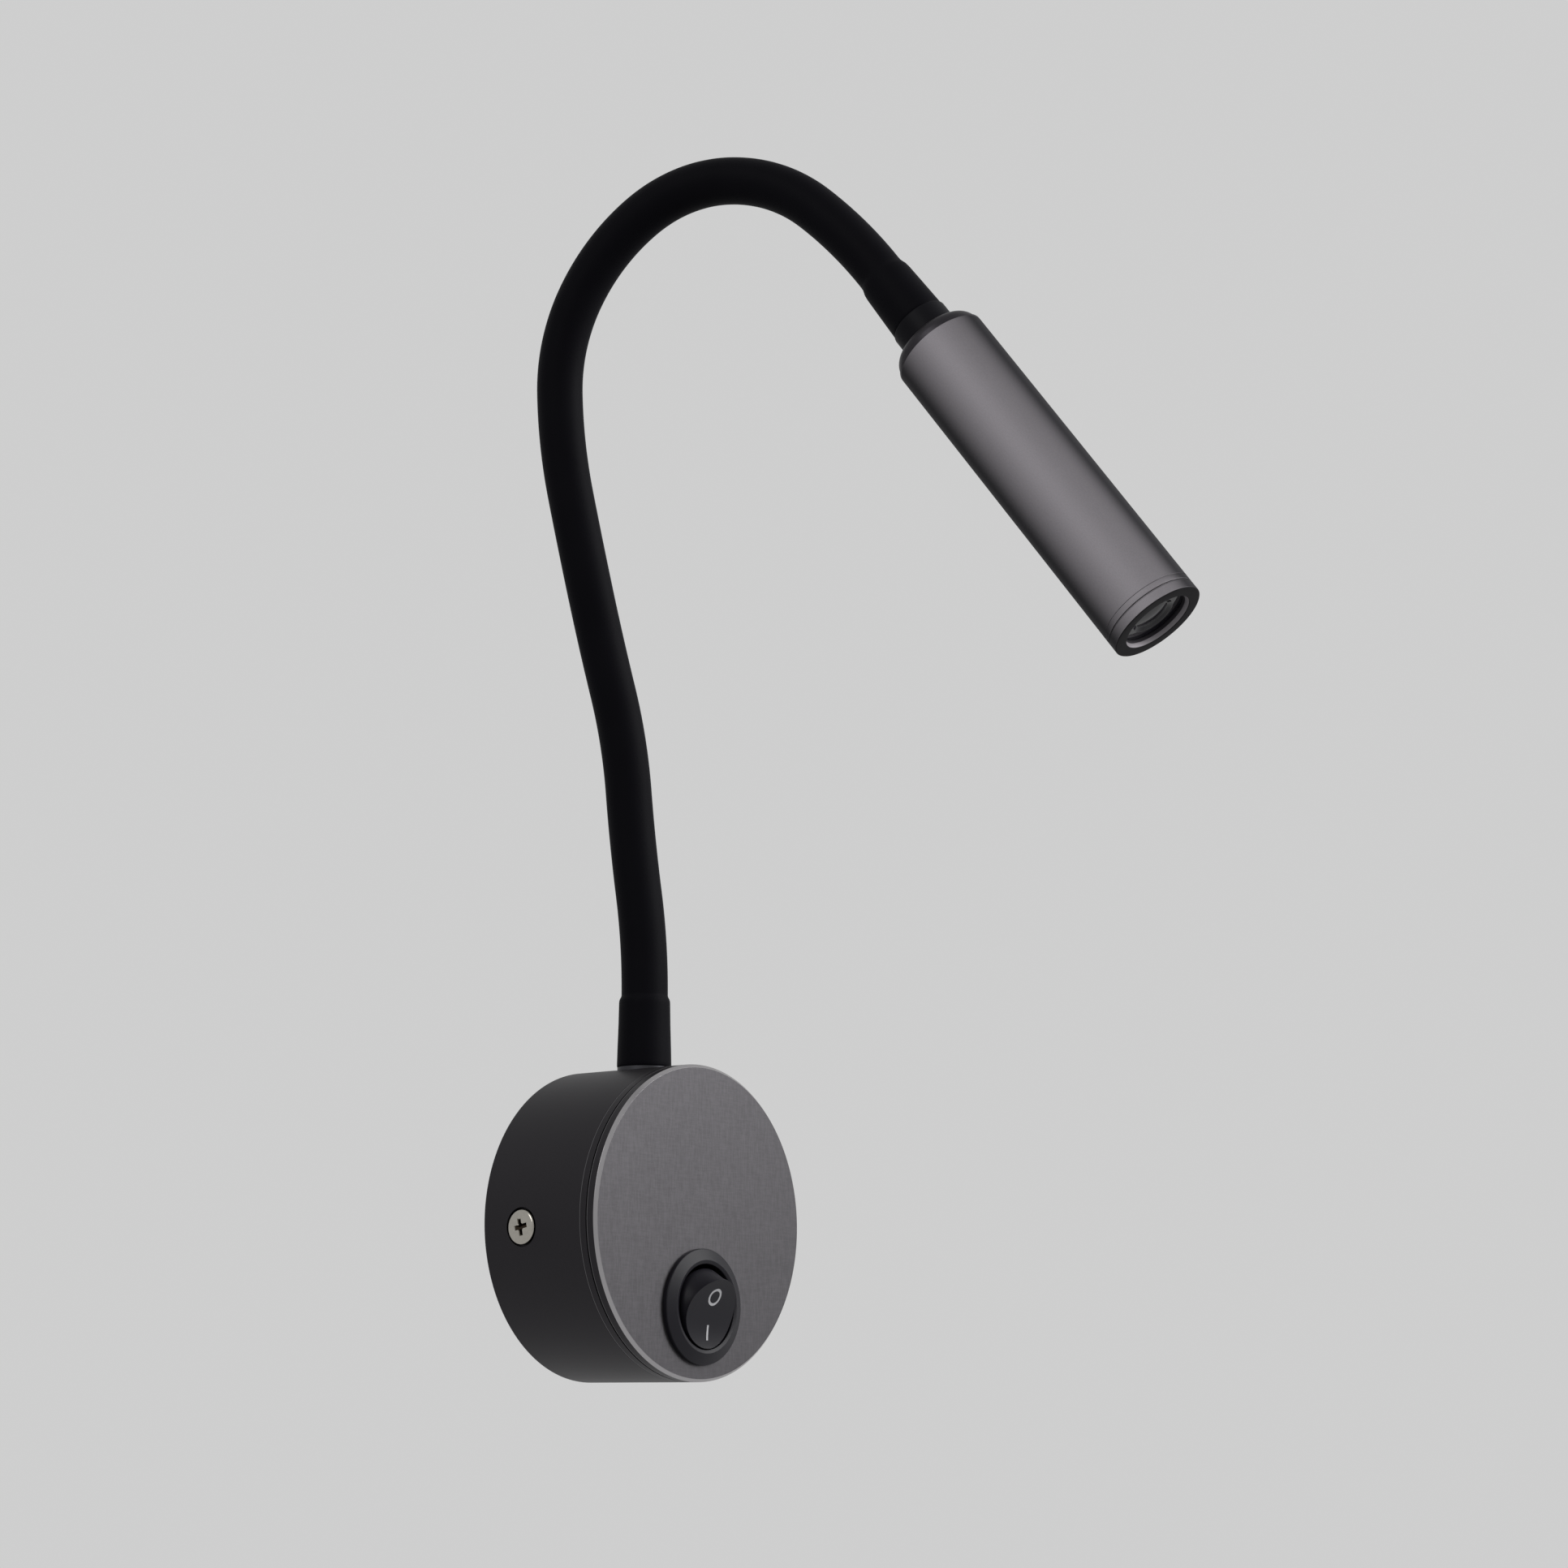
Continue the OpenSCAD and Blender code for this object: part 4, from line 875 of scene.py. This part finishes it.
# Switch: housing with its flange, rocker and inlaid marks
switch = {
    "body": 9.9, "back": 17.46, "floor": 18.96, "opening": 8.3, "flange": 11.3, "under": 29.2, "lip": 30.1,
    "top": 31.0, "hingeOut": 28.16, "hingeHole": 1.05, "holeReach": 9.6, "slotWide": 4.9,
    "slotHigh": 0.9, "pitch": 5.6, "clipWide": 5, "clipThick": 0.5, "clipLow": 24.3, "clipHigh": 26.6,
    "slope": 0.75, "slopeDrop": 0.25, "edge": 0.06,
}
rocker = {
    "radius": 6.9, "skirt": 7.8, "reach": 3.7, "hollow": 18, "tilt": 17, "nose": 2.2, "noseLength": 5,
    "springBore": 1.25, "pin": 1.0, "pinReach": 9.5, "edge": 0.22, "ringUp": 3.1, "ringOuter": 1.8,
    "lineWidth": 0.55, "barUp": -3.95, "barLength": 2.9, "inlay": 0.3, "sunk": 0.03, "ringSteps": 72,
    "barSteps": 12, "springDepth": 1, "under": -1, "skirtBevel": 0.6, "draft": 0.12, "draftUp": 3.2,
    "spare": 0.3, "markSpare": 0.2, "cutReach": 9,
}
hinge = onWall(0, -base["switchDrop"], switch["hingeOut"])
sideways = Matrix.Rotation(math.pi / 2, 4, "Y")


def makeSwitch(w):
    place = onWall(0, -base["switchDrop"])
    thing = newObject("switchHousing", turned([
        (0, w["back"]), (w["body"], w["back"], 0.3), (w["body"], w["under"]), (w["flange"], w["under"], 0.1),
        (w["flange"], w["lip"], 0.28), (w["opening"] + w["slope"], w["top"], 0.3),
        (w["opening"], w["top"] - w["slopeDrop"], 0.2),
        (w["opening"], w["floor"], 0.3), (0, w["floor"])], place, sides=128, longest=1.5), looks["switch"])
    tools = [block((-w["slotWide"] / 2, n * w["pitch"] - w["slotHigh"] / 2, w["back"] - past),
                   (w["slotWide"] / 2, n * w["pitch"] + w["slotHigh"] / 2, w["floor"] + past), place)
             for n in (-1, 0, 1)]
    tools.append(rod(w["hingeHole"], -w["holeReach"], w["holeReach"], hinge @ sideways, sides=32))
    cut(thing, tools)
    clips = [block((s * w["body"] - w["clipThick"], -w["clipWide"] / 2, w["clipLow"]),
                   (s * w["body"] + w["clipThick"], w["clipWide"] / 2, w["clipHigh"]), place)
             for s in (-1, 1)]
    finishEdges(cut(thing, clips, "UNION"), w["edge"])
    stand(thing, "base", "switch_black", "switch_housing")


def rockerPlace(r):
    return hinge @ Matrix.Rotation(math.radians(r["tilt"]), 4, "X")


def hollowAt(y):  # height of the rocker's face over its hinge
    return rocker["reach"] + rocker["hollow"] - math.sqrt(rocker["hollow"] ** 2 - y ** 2)


def inlayStrip(outer, inner, place, low, high, closed):  # a thin strip on the hollow face between two paths
    bm = bmesh.new()
    loops = [[bm.verts.new((x * mm, y * mm, (hollowAt(y) + h) * mm)) for x, y in path]
             for path, h in ((outer, high), (inner, high), (inner, low), (outer, low))]
    skin(bm, loops + loops[:1], closed)
    if not closed:
        bm.faces.new([loop[0] for loop in loops])
        bm.faces.new([loop[-1] for loop in loops][::-1])
    return placed(bm, place, "strip")


def markMeshes(r, low, high):  # the ring and the bar, from low to high over the face
    place = rockerPlace(r)
    turn = [2 * math.pi * k / r["ringSteps"] for k in range(r["ringSteps"])]
    rings = [[(radius * math.cos(t), r["ringUp"] + radius * math.sin(t)) for t in turn]
             for radius in (r["ringOuter"], r["ringOuter"] - r["lineWidth"])]
    half, steps = r["barLength"] / 2, r["barSteps"]
    heights = [r["barUp"] - half + 2 * half * k / steps for k in range(steps + 1)]
    sides = [[(s * r["lineWidth"] / 2, y) for y in heights] for s in (-1, 1)]
    return [inlayStrip(rings[0], rings[1], place, low, high, True),
            inlayStrip(sides[0], sides[1], place, low, high, False)]


def makeRocker(r):
    place, nose, top = rockerPlace(r), -r["noseLength"], hollowAt(r["radius"]) + r["spare"]
    thing = newObject("rockerBody", turned([
        (0, nose + r["springDepth"]), (r["springBore"], nose + r["springDepth"]), (r["springBore"], nose),
        (r["nose"], nose, 0.3), (r["nose"], r["under"]), (r["skirt"] - r["skirtBevel"], r["under"], 0.3),
        (r["skirt"], 0.1, 0.4), (r["radius"] + r["draft"], r["draftUp"]), (r["radius"], top), (0, top)],
        place, sides=128, longest=1.2), looks["switch"])
    cut(thing, [rod(r["pin"], -r["pinReach"], r["pinReach"], place @ sideways, sides=32)], "UNION")
    axis = along(place, r["reach"] + r["hollow"]) @ sideways
    cut(thing, [rod(r["hollow"], -r["cutReach"], r["cutReach"], axis, sides=512)])
    finishEdges(thing, r["edge"], corner=38, segments=3)
    cut(thing, markMeshes(r, -r["inlay"], r["markSpare"]))
    finishEdges(thing)
    stand(thing, "rocker", "switch_black", "rocker")
    marks = joined("rockerMarks", markMeshes(r, -r["inlay"], -r["sunk"]), looks["mark"])
    stand(finishEdges(marks), "rocker", "mark_white", "rocker_marks")


makeSwitch(switch)
makeRocker(rocker)
print("switch made")

# Head: tube with its shoulder, front ring, collar and lens
head = {
    "radius": 9.5, "length": 74.5, "wall": 1.4, "backWall": 2.0, "studHole": 4.1, "shoulder": 2.4,
    "shoulderIn": 2.05, "shoulderStep": 6, "sideCut": 0.35, "ring": 2.3, "lipEdge": 0.17, "seam": 0.3,
    "seamDepth": 0.25, "opening": 7.1, "bevelIn": 0.5, "bevelDeep": 1.2, "lensBack": 1.6, "lensGap": 0.05,
    "spigotLength": 7, "spigot": 0.5, "fit": 0.1, "collarRadius": 5.85, "collarBore": 4.2, "collarLength": 5,
    "lineAt": 70.9, "lineWidth": 0.12, "lineDepth": 0.08,
}


def makeHead(h):
    front, r = h["length"] - h["ring"], h["radius"]
    arc = [(r - h["sideCut"] - h["shoulderIn"] * (1 - math.sin(math.radians(a))),
            h["shoulder"] * (1 - math.cos(math.radians(a)))) for a in range(0, 91, h["shoulderStep"])]
    line = [(r, h["lineAt"], 0.03), (r - h["lineDepth"], h["lineAt"] + h["lineWidth"] / 2),
            (r, h["lineAt"] + h["lineWidth"], 0.03)]
    shell = newObject("headShell", turned(
        [(h["studHole"], 0)] + arc + [(r, h["shoulder"] + 0.12, 0.05)] + line + [
            (r, front, 0.1), (r - h["wall"], front), (r - h["wall"], h["backWall"]),
            (h["studHole"], h["backWall"])], headFrame), looks["head"])
    stand(finishEdges(shell, corner=30), "head", "head_anodised", "head_shell")
    bore = r - h["wall"] - h["fit"]
    seat = h["length"] - h["lensBack"] + h["lensGap"]
    ring = newObject("headRing", turned([
        (bore - h["spigot"], front - h["spigotLength"]), (bore, front - h["spigotLength"]), (bore, front),
        (r - h["seamDepth"], front), (r - h["seamDepth"], front + h["seam"]), (r, front + h["seam"], 0.08),
        (r, h["length"] - h["lipEdge"], 0.05), (r - h["lipEdge"], h["length"], 0.05),
        (h["opening"], h["length"], 0.1), (h["opening"] - h["bevelIn"], h["length"] - h["bevelDeep"]),
        (h["opening"] - h["bevelIn"], seat), (bore - h["spigot"], seat)], headFrame, longest=2.0),
        looks["head"])
    stand(finishEdges(ring, corner=30), "head", "head_anodised", "head_ring")
    collar = newObject("headCollar", turned([
        (h["collarBore"], -h["collarLength"]), (h["collarRadius"], -h["collarLength"], 0.25),
        (h["collarRadius"], 0, 0.08), (h["collarBore"], 0)], headFrame, sides=96, longest=1.2),
        looks["collar"])
    stand(finishEdges(collar, corner=30), "head", "collar_dark", "head_collar")


# The lens: a cup over the chip, a curved flank, a rim and a shallow dish in its front
lens = {
    "foot": 63.9, "footRadius": 3.0, "cupRadius": 1.7, "cupDepth": 3.0, "flank": 3.2, "flankLength": 7.8,
    "rimRadius": 7.2, "rimInner": 6.6, "rimBack": 71.7, "front": 72.9, "dishOuter": 4.4, "dishInner": 3.6,
    "dishDepth": 0.5, "crown": 0.1, "steps": 14,
}


def makeLens(w):
    flank = []
    for k in range(1, w["steps"] + 1):
        t = k / (w["steps"] + 1)
        flank.append((w["footRadius"] + w["flank"] * math.sin(math.pi / 2 * t),
                      w["foot"] + w["flankLength"] * t))
    crown = []
    for k in range(1, w["steps"]):
        t = k / w["steps"]
        crown.append((w["dishInner"] * (1 - t), w["front"] - w["dishDepth"] + (
            w["dishDepth"] - w["crown"]) * math.sin(math.pi / 2 * t)))
    outline = [(0, w["foot"] + w["cupDepth"]), (w["cupRadius"], w["foot"] + w["cupDepth"]),
               (w["cupRadius"], w["foot"]), (w["footRadius"], w["foot"])] + flank + [
        (w["rimInner"], w["rimBack"]), (w["rimRadius"], w["rimBack"]), (w["rimRadius"], w["front"], 0.1),
        (w["dishOuter"], w["front"], 0.35), (w["dishInner"], w["front"] - w["dishDepth"], 0.25)] + crown + [
        (0, w["front"] - w["crown"])]
    thing = newObject("clearLens", turned(outline, headFrame, sides=128, longest=3.0), looks["lens"])
    stand(finishEdges(thing, corner=25), "head", "lens_clear", "lens")


makeHead(head)
makeLens(lens)
print("head made")

# Everything that isn't rebuilt keeps its CAD shape and takes its own material
nodeLooks = {
    "wall_plate": "zinc", "cable_grommet": "grommet", "base_housing": "housing", "base_cover": "cover",
    "side_screws": "screw", "driver_board": "boardGreen", "board_screws": "zinc", "driver_coil": "ferrite",
    "driver_capacitor": "partBlack", "driver_chip": "partBlack", "terminal_block": "blockGreen",
    "terminal_screws": "zinc", "switch_leads": "wire", "switch_housing": "switch",
    "switch_terminals": "brass", "switch_blade": "brass", "rocker": "switch", "rocker_marks": "mark",
    "rocker_plunger": "ivory", "rocker_spring": "spring", "neck_fitting": "blackZinc", "neck_nut": "zinc",
    "neck_washer": "zinc", "neck_foot": "silicone", "neck_wires": "wire", "neck_top": "silicone",
    "head_fitting": "nickel", "head_collar": "collar", "head_nut": "zinc", "head_shell": "head",
    "head_ring": "head", "lens": "lens", "lens_holder": "holder", "led_board": "boardWhite",
    "led_chip": "phosphor", "heat_sink": "sink", "led_screws": "zinc",
}
for name, node in cadNodes.items():
    look = nodeLooks.get(name) or ("silicone" if name.startswith("sleeve") else "spring")
    node.data.materials.clear()
    node.data.materials.append(looks[look])
print("carried parts painted")

# Floor, backdrop and lights
stage = {
    "floorDrop": 330, "floorSize": 3000, "floorColour": (0.34, 0.34, 0.34), "floorGlow": 0.5,
    "background": 0.62, "fill": 0.2,
}
lamps = {  # azimuth and elevation round the lamp's middle, distance and size in millimetres, power in watts
    "keyFront": {"azimuth": 38, "elevation": 22, "distance": 900, "size": 760, "power": 8.0},
    "sideSoft": {"azimuth": -86, "elevation": 30, "distance": 900, "size": 500, "power": 2.0},
}
middle = Vector((0, -65, 85)) * mm


def makeStage(look):
    half = look["floorSize"] * mm / 2
    corners = [(-half, -half, 0), (half, -half, 0), (half, half, 0), (-half, half, 0)]
    mesh = bpy.data.meshes.new("paleFloor")
    mesh.from_pydata(corners, [], [(0, 1, 2, 3)])
    floor = newObject("paleFloor", mesh)
    floor.location.z = -look["floorDrop"] * mm
    m = Finish("paleFloor")
    speck = m.noise(m.add("ShaderNodeTexCoord", output="Object"), 3.0, 3.0)
    glow = m.tint(m.seen(), (0, 0, 0), [look["floorGlow"]] * 3)
    mesh.materials.append(m.surface(colour=m.tint(speck, *shades(look["floorColour"], 0.01)), rough=0.9,
                                    specular=0.1, glow=glow, glowStrength=1.0))
    world = bpy.data.worlds.new("studio")
    bpy.context.scene.world = world
    w = Finish("studio", world)
    light = w.add("ShaderNodeMapRange", None, {
        "Value": w.seen(), "To Min": look["fill"], "To Max": look["background"]})
    back = w.add("ShaderNodeBackground", None, {"Color": (1, 1, 1), "Strength": light})
    w.add("ShaderNodeOutputWorld", None, {"Surface": back})


def makeLamps():
    for name, lamp in lamps.items():
        way = wayTo(lamp["azimuth"], lamp["elevation"])
        data = bpy.data.lights.new(name, "AREA")
        data.shape, data.size, data.energy = "DISK", lamp["size"] * mm, lamp["power"]
        thing = bpy.data.objects.new(name, data)
        thing.location = middle + way * lamp["distance"] * mm
        thing.rotation_mode = "QUATERNION"
        thing.rotation_quaternion = way.to_track_quat("Z", "Y")
        bpy.context.scene.collection.objects.link(thing)


makeStage(stage)
makeLamps()
print("stage and lights set")
